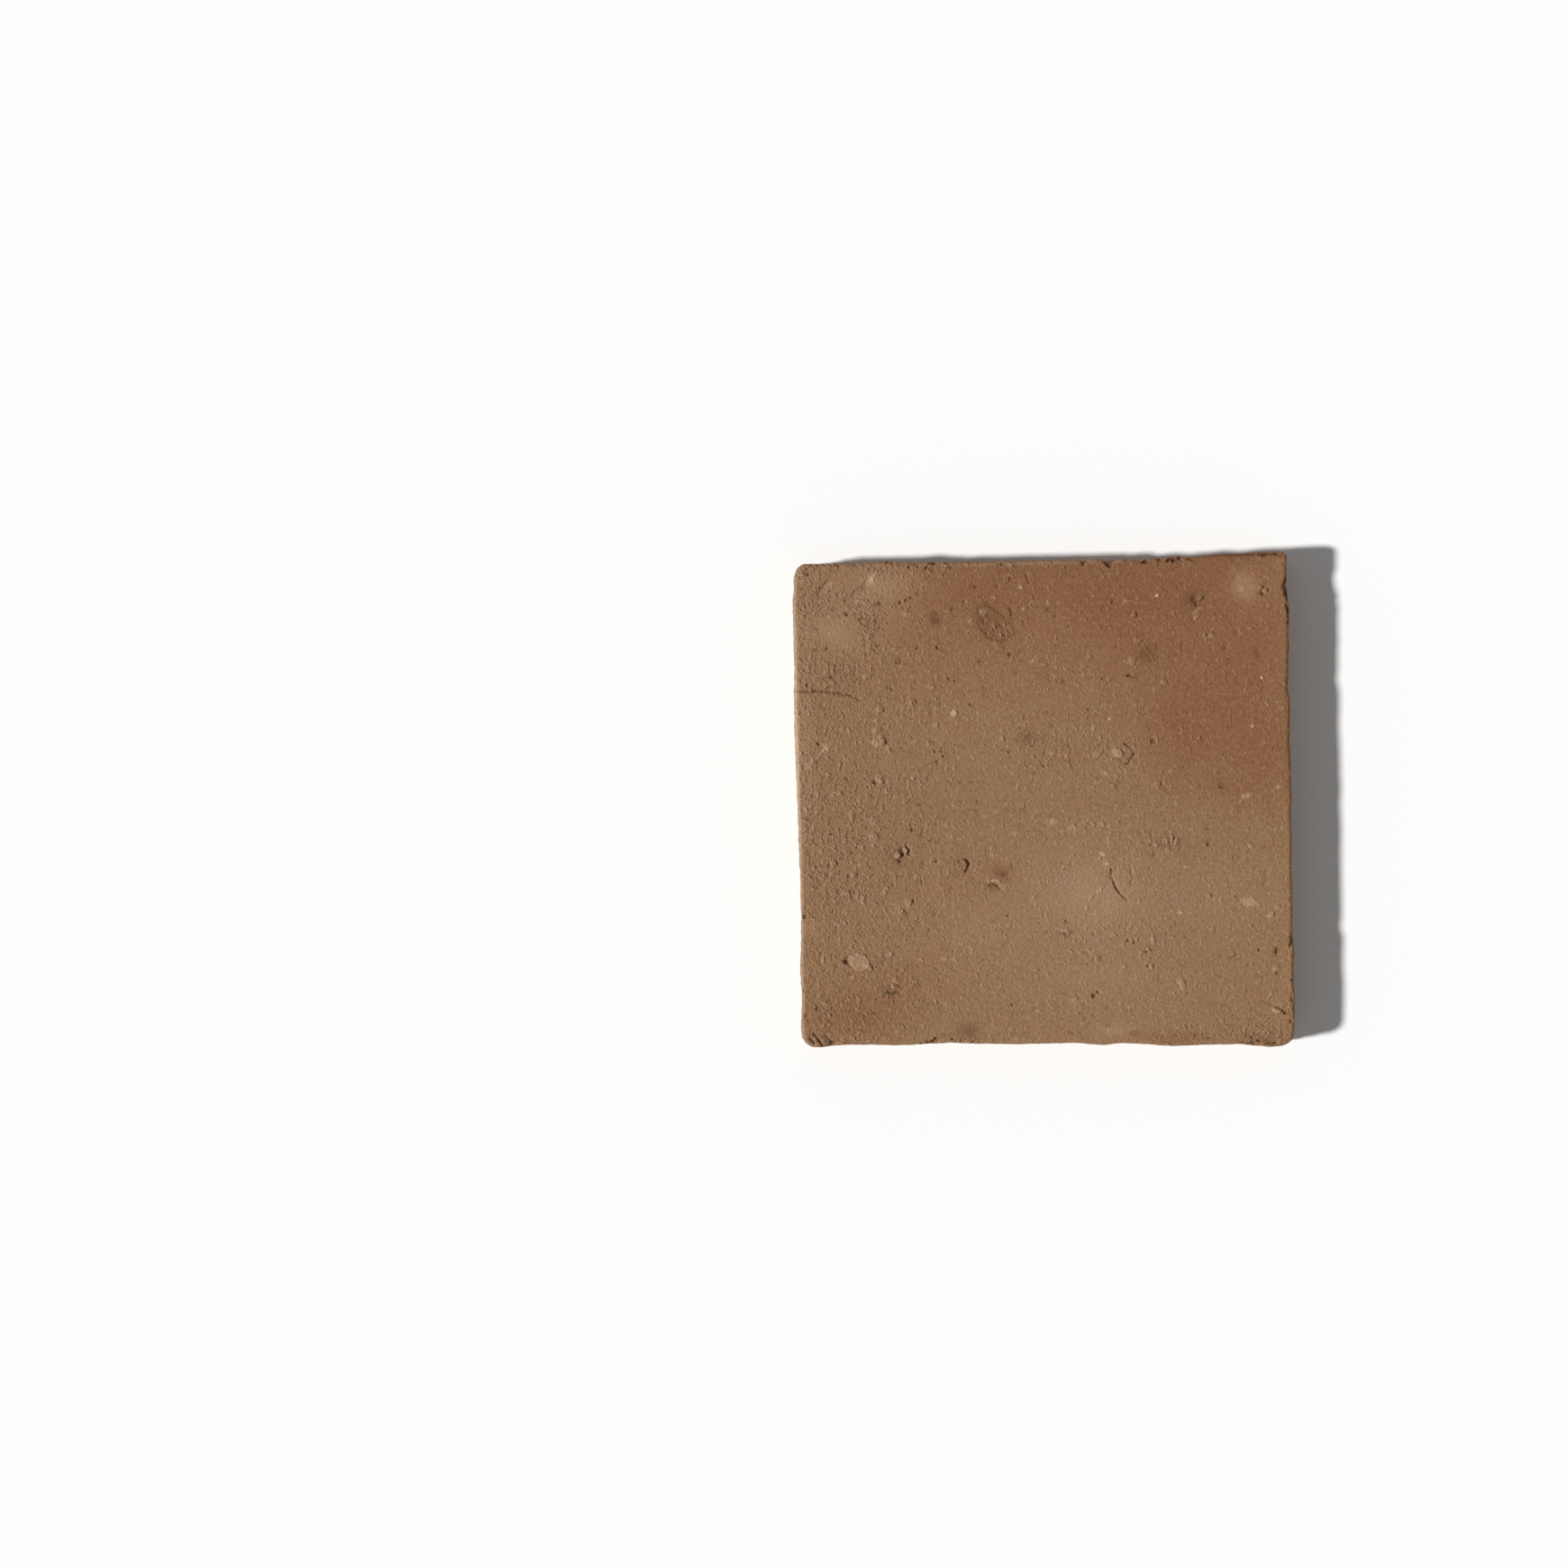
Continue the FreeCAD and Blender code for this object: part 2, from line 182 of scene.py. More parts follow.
# Grains of grog, lime and clay that stand out: x, y, length, width, turn, height, paleness.
LUMPS = [
    (-23.0, 77.2, 3.6, 3.2, 0, 0.35, 0.3), (-71.1, 51.5, 2.4, 2.2, 0, 0.52, 0.14),
    (-44.0, 46.9, 2.2, 1.8, 30, 0.38, 0.11), (-52.2, 41.1, 2.6, 2.4, 0, 0.6, 0.06),
    (-65.4, 38.3, 2.8, 2.6, 0, 0.52, 0.08), (-35.4, 36.5, 2.9, 2.6, -20, 0.6, 0.7),
    (-42.9, 31.9, 1.8, 1.6, 0, 0.45, 0.28), (-66.6, 25.2, 6.2, 4.0, 0, 0.6, 0.3),
    (-61.6, 21.1, 1.6, 1.6, 0, 0.45, 0.11), (-65.8, 9.2, 3.8, 3.2, 0, 0.6, 0.25),
    (-62.5, 9.3, 1.8, 2.6, 0, 0.18, 0.06), (-82.2, 4.7, 1.7, 1.6, 0, 0.52, 0.22),
    (-52.6, 10.4, 1.2, 1.2, 0, 0.45, 0.9), (-77.2, -4.3, 2.0, 5.2, 0, 0.45, 0.11),
    (-68.3, -6.6, 4.6, 4.2, 0, 0.38, 0.08), (-68.5, -13.4, 4.2, 4.0, 0, 0.55, 0.12),
    (-59.2, -20.6, 3.2, 3.6, 0, 0.6, 0.8), (-55.9, -18.8, 2.4, 3.0, 0, 0.55, 0.65),
    (-85.1, -23.6, 3.2, 3.2, 0, 0.68, 0.19), (-77.0, -28.5, 3.0, 2.6, 0, 0.6, 0.17),
    (-80.2, -35.6, 3.0, 2.4, 0, 0.5, 0.15), (-73.3, -38.9, 2.0, 3.4, 10, 0.36, 0.24),
    (-64.0, -34.6, 3.6, 2.2, 50, 0.45, 0.08), (-54.9, -39.6, 3.4, 3.8, 0, 0.42, 0.11),
    (-58.2, -43.4, 2.4, 1.8, 30, 0.4, 0.17), (-33.2, -25.0, 5.0, 5.2, 0, 0.3, 0.08),
    (-20.0, -31.4, 4.4, 1.6, 0, 0.35, 0.35), (-75.0, -63.7, 10.8, 7.6, -25, 0.5, 0.28),
    (-61.2, -73.6, 4.0, 2.4, 0, 0.4, 0.06), (-60.9, -70.6, 1.6, 2.2, 0, 0.45, 0.17),
    (3.1, 80.8, 0.8, 1.0, 0, 0.3, 0.5), (47.1, 82.6, 1.5, 1.3, 0, 0.52, 1.0),
    (35.0, 81.0, 2.2, 1.2, 0, 0.38, 0.28), (39.3, 81.3, 1.6, 1.0, 0, 0.38, 0.22),
    (37.4, 75.1, 2.6, 2.2, 0, 0.52, 0.11), (64.2, 81.4, 2.6, 2.2, 0, 0.45, 0.15),
    (60.8, 78.6, 3.0, 2.6, 0, 0.15, 0.03), (63.4, 76.4, 3.6, 1.4, 35, 0.38, 0.22),
    (62.6, 73.4, 3.4, 1.3, 40, 0.38, 0.22), (88.6, 85.2, 2.0, 1.6, 30, 0.4, 0.08),
    (90.8, 84.0, 2.2, 2.6, 0, 0.45, 0.12), (68.9, 66.5, 2.6, 2.4, 0, 0.45, 0.08),
    (66.0, 66.4, 1.6, 2.0, 0, 0.38, 0.11), (37.0, 56.4, 2.4, 3.6, 0, 0.45, 0.06),
    (49.3, 47.8, 3.2, 2.0, -30, 0.45, 0.08), (88.8, 48.9, 1.1, 1.0, 0, 0.38, 1.0),
    (84.8, 29.3, 1.0, 0.9, 0, 0.3, 1.0), (30.2, 19.4, 5.0, 3.8, -40, 0.22, 0.36),
    (22.2, 19.0, 3.2, 3.0, 0, 0.35, 0.06), (46.2, 24.6, 1.2, 3.2, 12, 0.28, 0.14),
    (82.2, 1.4, 4.4, 2.2, 25, 0.15, 0.34), (94.6, 4.6, 0.8, 0.8, 0, 0.3, 0.9),
    (27.1, 33.3, 0.9, 0.9, 0, 0.3, 0.9), (3.9, -7.8, 3.4, 2.4, 0, 0.2, 0.22),
    (-11.0, -12.4, 3.0, 2.2, 0, 0.2, 0.1), (18.0, -7.6, 1.2, 1.0, 0, 0.3, 0.2),
    (20.0, -9.2, 2.2, 1.2, -35, 0.3, 0.1), (24.0, -9.4, 1.6, 2.0, 20, 0.3, 0.12),
    (26.6, -10.2, 2.0, 1.2, -15, 0.25, 0.08), (29.8, -8.4, 1.0, 1.8, 15, 0.25, 0.1),
    (51.6, -15.2, 1.6, 3.4, 0, 0.52, 0.11), (53.2, -16.8, 1.4, 3.0, 0, 0.45, 0.11),
    (45.2, -18.0, 2.4, 1.8, 0, 0.45, 0.14), (49.6, -20.6, 1.6, 1.6, 0, 0.38, 0.22),
    (82.4, -41.6, 8.4, 3.6, -12, 0.36, 0.38), (91.2, -47.0, 3.2, 2.4, 30, 0.42, 0.2),
    (94.0, -43.8, 2.2, 1.6, -20, 0.32, 0.11), (20.6, -63.6, 2.6, 2.8, 0, 0.52, 0.06),
    (31.6, -67.0, 2.0, 1.8, 0, 0.45, 0.19), (42.6, -67.0, 1.6, 2.0, 0, 0.45, 0.22),
    (55.0, -74.4, 2.2, 5.2, 15, 0.45, 0.22), (92.8, -68.6, 3.4, 2.4, -15, 0.48, 0.19),
    (93.0, -85.6, 5.2, 2.4, -22, 0.75, 0.25), (90.6, -79.0, 2.8, 1.8, 40, 0.32, 0.11),
    (54.6, -45.4, 0.9, 0.9, 0, 0.3, 1.0), (43.6, -56.4, 2.0, 4.4, 0, 0.45, 0.08),
    (41.2, -60.0, 1.8, 1.6, 0, 0.38, 0.19), (8.4, -52.0, 2.4, 2.0, 0, 0.45, 0.14),
    (46.4, 6.3, 2.2, 3.0, 20, 0.52, 0.08), (11.6, -79.8, 1.8, 2.2, 0, 0.38, 0.19),
    (83.4, -19.0, 3.0, 2.0, -20, 0.45, 0.17), (-8.1, 86.9, 0.7, 0.6, 0, 0.25, 0.9),
    (-7.0, 78.0, 0.8, 0.7, 0, 0.3, 0.9), (-16.2, 67.6, 1.0, 1.2, 0, 0.2, 0.3),
    (-85.0, 88.4, 5.0, 1.6, 55, 0.12, 0.15), (-68.4, 90.0, 5.0, 2.6, 52, 0.15, 0.3),
    (-66.6, 92.6, 2.2, 1.6, 70, 0.15, 0.3), (-89.0, 21.6, 4.4, 0.8, 50, 0.12, 0.4),
    (-93.4, 17.4, 4.6, 0.7, 38, 0.1, 0.35), (26.1, -16.2, 0.9, 5.0, 0, 0.25, 0.45),
    (24.1, -21.6, 1.2, 1.0, 0, 0.3, 0.6), (25.6, -25.2, 2.0, 1.4, 0, 0.3, 0.3),
    (12.9, -10.3, 5.0, 3.6, 0, 0.08, 0.22), (-29.8, 81.2, 0.8, 0.7, 0, 0.25, 0.4),
    (-28.4, 73.8, 0.8, 0.8, 0, 0.2, 0.3), (-3.4, 57.0, 1.5, 0.6, 35, 0.25, 0.5),
]

# Cracks and slits: width, depth, then the points along the line.
CRACKS = [
    (0.5, 0.6, [(-98.6, 46.1), (-94.7, 45.8), (-89.7, 46.0), (-82.6, 45.3), (-79.0, 44.6),
                (-75.4, 43.3), (-73.6, 41.9)]),
    (0.3, 0.2, [(-60.4, 63.6), (-55.5, 63.5), (-51.1, 63.3)]),
    (0.3, 0.2, [(-39.7, 61.6), (-36.0, 61.5), (-32.6, 61.3)]),
    (0.6, 0.25, [(-21.6, 66.6), (-18.0, 64.7), (-14.6, 65.3), (-10.6, 68.4)]),
    (0.55, 0.85, [(32.9, 23.3), (35.7, 20.8), (37.1, 18.6), (35.7, 16.9), (33.9, 14.7)]),
    (0.5, 0.9, [(26.8, -27.5), (27.0, -30.7), (28.6, -34.6), (30.0, -37.0)]),
    (0.36, 0.55, [(30.0, -37.0), (31.2, -38.4), (32.9, -40.0)]),
    (0.4, 0.3, [(34.6, -26.5), (35.0, -30.7), (34.8, -34.3)]),
    (0.35, 0.25, [(89.3, -28.6), (88.9, -32.9), (88.0, -35.4)]),
    (0.5, 0.6, [(-64.2, -75.8), (-61.4, -76.4), (-58.6, -75.3), (-58.0, -73.9)]),
    (0.55, 1.0, [(-94.0, -91.6), (-92.2, -93.8), (-90.4, -96.4)]),
    (0.5, 0.8, [(-95.6, -93.6), (-93.6, -95.6)]),
    (0.5, 0.8, [(-89.4, -92.6), (-87.6, -94.4)]),
    (0.6, 0.9, [(93.1, -60.2), (92.9, -62.8)]),
    (0.45, 0.4, [(38.9, 75.6), (38.9, 73.8)]),
    (0.4, 0.4, [(34.6, 50.6), (37.0, 50.0), (38.8, 49.6)]),
    (0.4, 0.35, [(-79.4, 11.4), (-78.7, 9.6)]),
    (0.4, 0.35, [(-49.6, -30.4), (-49.3, -32.4)]),
    (0.4, 0.35, [(75.2, 55.6), (75.0, 53.8)]),
    (0.4, 0.3, [(73.8, 61.2), (73.4, 59.7)]),
    (0.4, 0.4, [(74.8, -64.2), (76.4, -63.0), (78.6, -62.6)]),
    (0.4, 0.35, [(7.1, -52.5), (9.2, -54.6), (10.8, -52.5)]),
    (0.4, 0.3, [(45.8, -70.8), (45.1, -73.0)]),
    (0.4, 0.4, [(47.6, 7.4), (46.8, 5.0)]),
    (0.4, 0.35, [(76.6, -38.8), (78.6, -40.6), (80.0, -41.4)]),
    (0.35, 0.25, [(87.2, -81.8), (91.0, -83.2), (95.4, -85.4)]),
    (0.35, 0.22, [(8.2, -92.8), (11.2, -93.3), (14.6, -93.0)]),
    (0.4, 0.3, [(50.6, -15.0), (50.9, -18.6)]),
    (0.4, 0.35, [(-38.2, 51.2), (-37.0, 49.8)]),
    (0.5, 0.9, [(-55.7, -17.4), (-54.8, -18.4), (-54.6, -19.4), (-55.1, -20.4)]),
    (0.4, 0.6, [(-57.5, -18.2), (-56.9, -19.4), (-57.2, -20.6)]),
    (0.5, 0.75, [(-31.4, -23.0), (-30.4, -24.2), (-30.6, -25.4)]),
    (0.45, 0.55, [(-31.1, -26.9), (-31.9, -27.9)]),
    (0.6, 0.5, [(-22.0, -33.5), (-20.3, -33.0), (-19.0, -33.7)]),
    (0.9, 0.26, [(-25.6, 78.4), (-24.5, 74.1), (-24.9, 70.9), (-21.3, 67.3), (-17.3, 65.3),
                 (-13.7, 66.5), (-10.8, 68.3), (-11.5, 71.2), (-14.8, 74.8), (-17.7, 77.0),
                 (-20.5, 79.5), (-23.4, 79.5), (-25.6, 78.4)]),
    (0.4, 0.3, [(-5.4, 92.0), (-5.0, 89.4)]),
    (0.5, 0.35, [(-89.8, 85.4), (-87.4, 88.6), (-85.6, 91.4)]),
    (0.35, 0.15, [(-85.6, 91.4), (-83.2, 94.2)]),
    (0.5, 0.32, [(-76.2, 84.2), (-73.4, 87.2), (-70.6, 90.2)]),
    (0.35, 0.15, [(-78.6, 82.2), (-76.2, 84.2)]),
    (0.5, 0.12, [(-41.5, 71.8), (-41.4, 64.0)]),
    (0.4, 0.45, [(-53.2, -38.0), (-52.8, -40.4)]),
    (0.4, 0.4, [(-56.4, -42.4), (-55.8, -44.2)]),
    (0.4, 0.45, [(-78.6, -34.4), (-78.2, -36.6)]),
    (0.4, 0.4, [(-34.9, -24.4), (-34.2, -23.0), (-32.8, -22.5)]),
    (0.4, 0.35, [(1.2, 21.6), (0.6, 19.2)]),
    (0.4, 0.3, [(-0.6, 16.2), (0.4, 14.2)]),
    (0.4, 0.3, [(11.6, 14.6), (12.2, 12.6)]),
    (0.4, 0.25, [(8.2, 17.4), (9.8, 16.2)]),
    (0.4, 0.25, [(-30.4, 9.4), (-29.0, 8.6)]),
    (0.4, 0.25, [(30.4, 8.2), (31.4, 7.4)]),
    (0.5, 0.25, [(34.0, -94.2), (37.4, -94.5)]),
    (0.5, 0.25, [(58.0, -94.9), (61.6, -94.4), (63.2, -94.6)]),
    (0.5, 0.3, [(64.8, -96.0), (67.2, -96.2)]),
    (0.5, 0.25, [(46.4, -97.0), (50.2, -97.2)]),
]

# Arrises that crumbled: x and y where the run starts and ends, number of small pits.
CRUMBLED = [
    (-64, 97.2, -38, 97.0, 14), (15, 97.4, 32, 97.6, 5), (34, 96.9, 60, 97.4, 14),
    (-98, 96.0, -80, 97.2, 4), (52, 97.0, 98, 98.6, 12), (-98, -94.0, -80, -96.0, 4),
    (-52, -96.0, -28, -96.2, 12), (78, -98.0, 93, -98.8, 8), (98.8, 94, 98.8, 70, 10),
    (98.8, -50, 98.8, -92, 5), (-98.0, -40, -98.0, -90, 8),
]

# Where a side bows out or falls in: side, place along it, reach, push outwards.
EDGE_SWELLS = [
    ("north", -98, 3.5, -0.2), ("west", 97, 3.5, -0.2), ("north", -62, 5, 0.4), ("north", -50, 4, -0.4),
    ("north", -35, 4, -0.3), ("north", 27.9, 1.7, -2.0), ("north", 17.0, 0.9, -1.0),
    ("north", 40, 2.4, -0.8), ("north", 55, 3, 0.8), ("north", 73, 9, 0.8), ("north", 88, 6, 0.5),
    ("south", -92, 6, 0.8), ("south", -60, 9, 0.5), ("south", -40, 4, -0.3), ("south", -12, 14, 0.5),
    ("south", 22, 6, 0.7), ("south", 52, 11, 0.8), ("south", 77, 4, -0.2), ("south", 90, 5, 0.7),
    ("east", 75, 7, 0.8), ("east", 62, 4, 0.4), ("east", 45, 2.5, -0.6), ("east", 35, 7, 0.4),
    ("east", 10, 8, 0.4), ("east", 0, 3, 0.5), ("east", -18, 8, 0.3), ("east", -62, 5, 0.5),
    ("east", -82, 8, 0.4), ("west", -65, 8, 0.6), ("west", -90, 5, 0.3), ("west", 58, 12, -0.4),
    ("west", 92, 6, -0.4),
]

# Tones of the firing as soft ovals: x, y, length, width, turn, strength. First the clay that
# burnt redder.
RED_PATCHES = [
    (70.0, 72.0, 110.0, 70.0, 10, 0.46), (52.0, 22.0, 36.0, 40.0, 0, 0.25),
    (94.0, 12.0, 30.0, 30.0, 0, 0.35), (74.0, 93.0, 54.0, 22.0, 0, 0.28),
    (-90.0, 84.0, 30.0, 30.0, 0, 0.12), (-42.0, 56.0, 90.0, 46.0, 0, 0.3),
    (6.0, 88.0, 150.0, 46.0, -3, 0.75), (90.0, 36.0, 60.0, 72.0, 0, 0.6),
    (92.0, 62.0, 24.0, 40.0, 0, 0.14), (58.0, 32.0, 56.0, 46.0, -30, 0.48),
    (-34.0, 80.0, 70.0, 40.0, -12, 0.18), (30.0, 62.0, 90.0, 36.0, 6, 0.25),
    (-76.0, -86.0, 54.0, 26.0, 6, 0.5), (-64.0, -74.0, 60.0, 30.0, 20, 0.28),
    (-26.0, -32.0, 40.0, 26.0, 0, 0.15), (-17.6, -28.6, 9.0, 6.4, -25, 0.5),
    (76.0, 4.0, 30.0, 14.0, -20, 0.25), (50.0, -96.0, 38.0, 5.0, -3, 0.5),
]

# Bloom and worn, paler ground, with painted highlight along the west arris, in the same columns.
PALE_PATCHES = [
    (-84.6, 69.5, 20.0, 12.0, -15, 0.16), (31.0, 19.0, 13.0, 11.0, 0, 0.1),
    (82.4, 86.0, 11.0, 14.0, 30, 0.3), (-62.0, 88.0, 26.0, 14.0, 20, 0.14),
    (20.0, -38.0, 52.0, 40.0, 0, 0.22), (24.0, -72.0, 60.0, 30.0, 0, 0.08),
    (26.0, -92.6, 14.0, 7.0, 0, 0.19), (-94.0, -50.0, 5.0, 9.0, 10, 0.22),
    (70.0, -40.0, 60.0, 36.0, 0, 0.07), (-68.0, 91.0, 4.0, 6.0, 30, 0.22),
    # The two ovals along the west side are painted highlight, where the west arris faces the light.
    (-99.5, 0.0, 2.4, 260.0, 0.3, 0.7), (-97.0, 30.0, 10.0, 130.0, 0, 0.12),
    (-30.0, -50.0, 44.0, 34.0, 0, 0.07), (-86.0, -97.0, 44.0, 12.0, 0, 0.1),
    (-76.0, 84.0, 50.0, 34.0, 0, 0.11), (0.0, 96.6, 90.0, 1.8, 0.7, 0.3),
]

# Soot and soil, with painted shade in the north notch and nick, on the north-east ear's turned-away arris
# and in two hollows, in the same columns.
DARK_PATCHES = [
    (-42.8, 74.0, 5.4, 4.4, -20, 1.0), (-18.6, 72.4, 19.0, 12.0, -42, 0.24),
    (-22.4, 76.4, 8.0, 7.0, 0, 0.2), (-17.8, -28.4, 8.0, 5.4, -30, 0.4),
    (42.9, 59.0, 8.0, 8.0, 0, 0.55), (61.4, 80.0, 9.0, 8.0, 0, 0.6), (74.0, 97.0, 50.0, 12.0, 0, 0.12),
    (89.6, 84.4, 6.0, 5.0, 0, 0.14), (87.1, 57.6, 5.0, 5.0, 0, 0.4), (-31.6, -92.0, 10.0, 7.0, 0, 0.6),
    (-6.4, 26.0, 8.0, 6.0, 0, 0.5), (-92.0, 76.0, 18.0, 30.0, 0, 0.06),
    # At 82.0, 98.9: painted shade on the north-facing arris of the north-east ear.
    (-97.0, -60.0, 12.0, 90.0, 0, 0.08), (82.0, 98.9, 40.0, 2.6, 1.4, 0.7),
    # At 27.9, 97.8 and 17.0, 98.2: painted shade in the notch and the nick of the north side; at -59.4,
    # -21.4: painted shade in the twin grain's hollow.
    (27.9, 97.8, 4.4, 2.2, 0, 0.7), (17.0, 98.2, 1.8, 1.4, 0, 0.6), (-59.4, -21.4, 11.0, 11.0, 0, 0.35),
    # At -33.8, -25.0: painted shade in the ring's hollow.
    (-33.8, -25.0, 8.0, 8.0, 0, 0.36), (85.6, -97.6, 16.0, 5.0, 0, 0.3),
    (62.0, 0.0, 110.0, 190.0, 0, 0.07), (-42.0, 0.0, 60.0, 50.0, 0, 0.07),
    (10.0, 96.0, 120.0, 7.0, 0, 0.15), (-59.4, 50.0, 3.0, 3.0, 0, 0.35),
    (10.0, 88.0, 140.0, 28.0, 0, 0.1),
]

# Rougher ground in the same columns, or smoother where the strength is below nought.
ROUGH_PATCHES = [
    (-93.0, 78.0, 15.0, 18.0, 0, 0.6), (-69.0, 71.0, 16.0, 14.0, 30, 0.65),
    (-83.0, 54.0, 14.0, 12.0, 0, 0.2), (-18.0, 71.0, 17.0, 13.0, -40, 0.9),
    (-80.0, -30.0, 34.0, 46.0, 0, 0.25), (42.0, 60.0, 14.0, 14.0, 0, 0.5),
    (6.0, 22.0, 40.0, 22.0, 0, 0.5), (30.0, 20.0, 18.0, 14.0, 0, 0.3),
    (30.0, -56.0, 50.0, 16.0, 0, 0.3), (48.0, -18.0, 30.0, 10.0, 0, 0.35),
    (86.0, -92.0, 22.0, 12.0, 0, 0.4), (-88.0, -94.0, 20.0, 10.0, 0, 0.3),
    (-68.0, -8.0, 24.0, 16.0, 0, 0.3), (-62.0, -74.0, 20.0, 12.0, 0, 0.35),
    (-55.0, 95.0, 90.0, 7.0, 0, 0.6), (60.0, -95.0, 70.0, 8.0, 0, 0.5), (24.0, 95.0, 60.0, 6.0, 0, 0.4),
    (-85.0, 69.5, 24.0, 15.0, -15, -1.2), (-75.0, -63.7, 11.0, 8.0, -25, -0.7),
    (82.6, -41.4, 8.0, 4.0, -10, -0.7), (-78.0, 91.0, 40.0, 9.0, 0, -0.6),
    (26.0, -92.6, 15.0, 8.0, 0, -1.2), (82.6, 85.6, 14.0, 14.0, 0, -0.4),
]


def linear(code):
    """An sRGB hex colour as linear red, green and blue."""
    parts = [int(code[start:start + 2], 16) / 255 for start in (1, 3, 5)]
    return tuple(part / 12.92 if part <= 0.04045 else ((part + 0.055) / 1.055) ** 2.4 for part in parts)


def colour(name, description, code):
    """A colour property with an sRGB hex default."""
    return bpy.props.FloatVectorProperty(
        name=name, description=description, default=linear(code), subtype="COLOR", size=3, min=0, max=1)


def length(name, description, millimetres):
    """A length property with its default in millimetres."""
    return bpy.props.FloatProperty(
        name=name, description=description, default=millimetres * MM, min=0, unit="LENGTH", precision=5)


class TileSettings(bpy.types.PropertyGroup):
    """Sizes and colours of the tile."""

    mesh_pitch: length("Mesh pitch", "Spacing of the face's mesh away from its pits and grains", 1.8)
    swell: length("Swell", "Rise and fall of the hand-struck face", 0.096)
    roughness_height: length("Roughness", "Height of the coarse grain of the face", 0.12)
    side_roughness: length("Side roughness", "Height of the drags and tears in the sides", 0.4)
    grit_height: length("Grit height", "Height of the fine grit in the surface", 0.7)
    buff: colour("Buff", "Paler body of the clay", "#927051")
    terracotta: colour("Terracotta", "Redder clay where the kiln burnt it harder", "#875c3d")
    # Rubbed: crumb tops paler from wear, and partly as painted highlight.
    rubbed_and_highlight: colour("Rubbed", "Tops of the crumbs, rubbed bare", "#c8b09e")
    # The lime colour also paints the highlight along the west arris and on grain crests.
    pale: colour("Lime", "Pale grains and bloom", "#c4a688")
    # The umber paints soil, and also painted shade in pits, cracks, pores, dents, at the feet of grains and
    # in the shaded patches.
    umber: colour("Umber", "Soot and soil in the pits", "#4a2912")


class StageSettings(bpy.types.PropertyGroup):
    """Camera, floor and light."""

    camera_height: length("Camera height", "Camera above the wearing face", 1500.0)
    light_height: bpy.props.FloatProperty(
        name="Light height", description="Angle of the main light above the floor",
        default=math.radians(42), subtype="ANGLE")
    light_heading: bpy.props.FloatProperty(
        name="Light heading", description="Direction the main light shines in, anticlockwise from east",
        default=math.radians(9), subtype="ANGLE")
    light_softness: bpy.props.FloatProperty(
        name="Light softness", description="Apparent width of the main light",
        default=math.radians(5), subtype="ANGLE")
    key_share: bpy.props.FloatProperty(
        name="Main light share", description="Share of the light on the face that the main light gives",
        default=0.8, min=0, max=1, subtype="FACTOR")
    paper: colour("Paper", "Seamless paper under the tile", "#fdfdfc")
    floor_gap: length("Floor gap", "Paper below the tile's bed, so that the two do not share a plane", 0.1)


def oval(x, y, middle_x, middle_y, long_way, short_way, turn):
    """Distance of points from the middle of an oval, 1 on its rim."""
    cosine, sine = math.cos(math.radians(turn)), math.sin(math.radians(turn))
    dx, dy = x - middle_x, y - middle_y
    along, across = dx * cosine + dy * sine, dy * cosine - dx * sine
    return np.hypot(along / (long_way / 2), across / (short_way / 2))


def line_distance(x, y, points):
    """Distance of points from a chain of straight runs."""
    best = np.full(x.shape, np.inf)
    for (start_x, start_y), (end_x, end_y) in zip(points, points[1:]):
        run_x, run_y = end_x - start_x, end_y - start_y
        along = ((x - start_x) * run_x + (y - start_y) * run_y) / (run_x ** 2 + run_y ** 2)
        along = np.clip(along, 0, 1)
        best = np.minimum(best, np.hypot(x - start_x - along * run_x, y - start_y - along * run_y))
    return best


def scattered_features():
    """The placed pits, grains and cracks, with small ones strewn between them, thicker to the west."""
    rng = random.Random(SEED)
    pits, grains, cracks = list(PITS), list(LUMPS), list(CRACKS)

    def spot():
        while True:
            x, y = rng.uniform(-FLAT_REACH, FLAT_REACH), rng.uniform(-FLAT_REACH, FLAT_REACH)
            if rng.random() < 1.0 - (x + HALF_FACE) / SCATTER_FADE:
                return x, y

    for _ in range(SCATTERED_PITS):
        radius = rng.uniform(*PIT_RADII)
        x, y = spot()
        pits.append((x, y, radius, radius * rng.uniform(*PIT_DEPTHS)))
    for start_x, start_y, end_x, end_y, count in CRUMBLED:
        for _ in range(count):
            along = rng.random()
            radius = rng.uniform(*CRUMB_RADII)
            x = start_x + along * (end_x - start_x) + rng.gauss(0, CRUMB_SPREAD[0])
            y = start_y + along * (end_y - start_y) + rng.gauss(0, CRUMB_SPREAD[1])
            pits.append((x, y, radius, radius * rng.uniform(*CRUMB_DEPTHS)))
    for _ in range(SCATTERED_GRAINS):
        size = rng.uniform(*GRAIN_LENGTHS)
        x, y = spot()
        width = size * rng.uniform(*GRAIN_WIDTHS)
        turn = rng.uniform(0, 180)
        rise = size * rng.uniform(*GRAIN_RISES)
        paleness = rng.choice(GRAIN_PALENESS)
        grains.append((x, y, size, width, turn, rise, paleness))
    for _ in range(SCATTERED_SLITS):
        x, y = spot()
        way = math.radians(rng.gauss(*SLIT_TURN))
        reach = rng.uniform(*SLIT_REACHES)
        dx, dy = reach * math.cos(way), reach * math.sin(way)
        bend = rng.uniform(*SLIT_BENDS)
        width = rng.uniform(*SLIT_WIDTHS)
        depth = rng.uniform(*SLIT_DEPTHS)
        points = [(x - dx, y - dy), (x - bend * dy, y + bend * dx), (x + dx, y + dy)]
        cracks.append((width, depth, points))
    return pits, grains, cracks


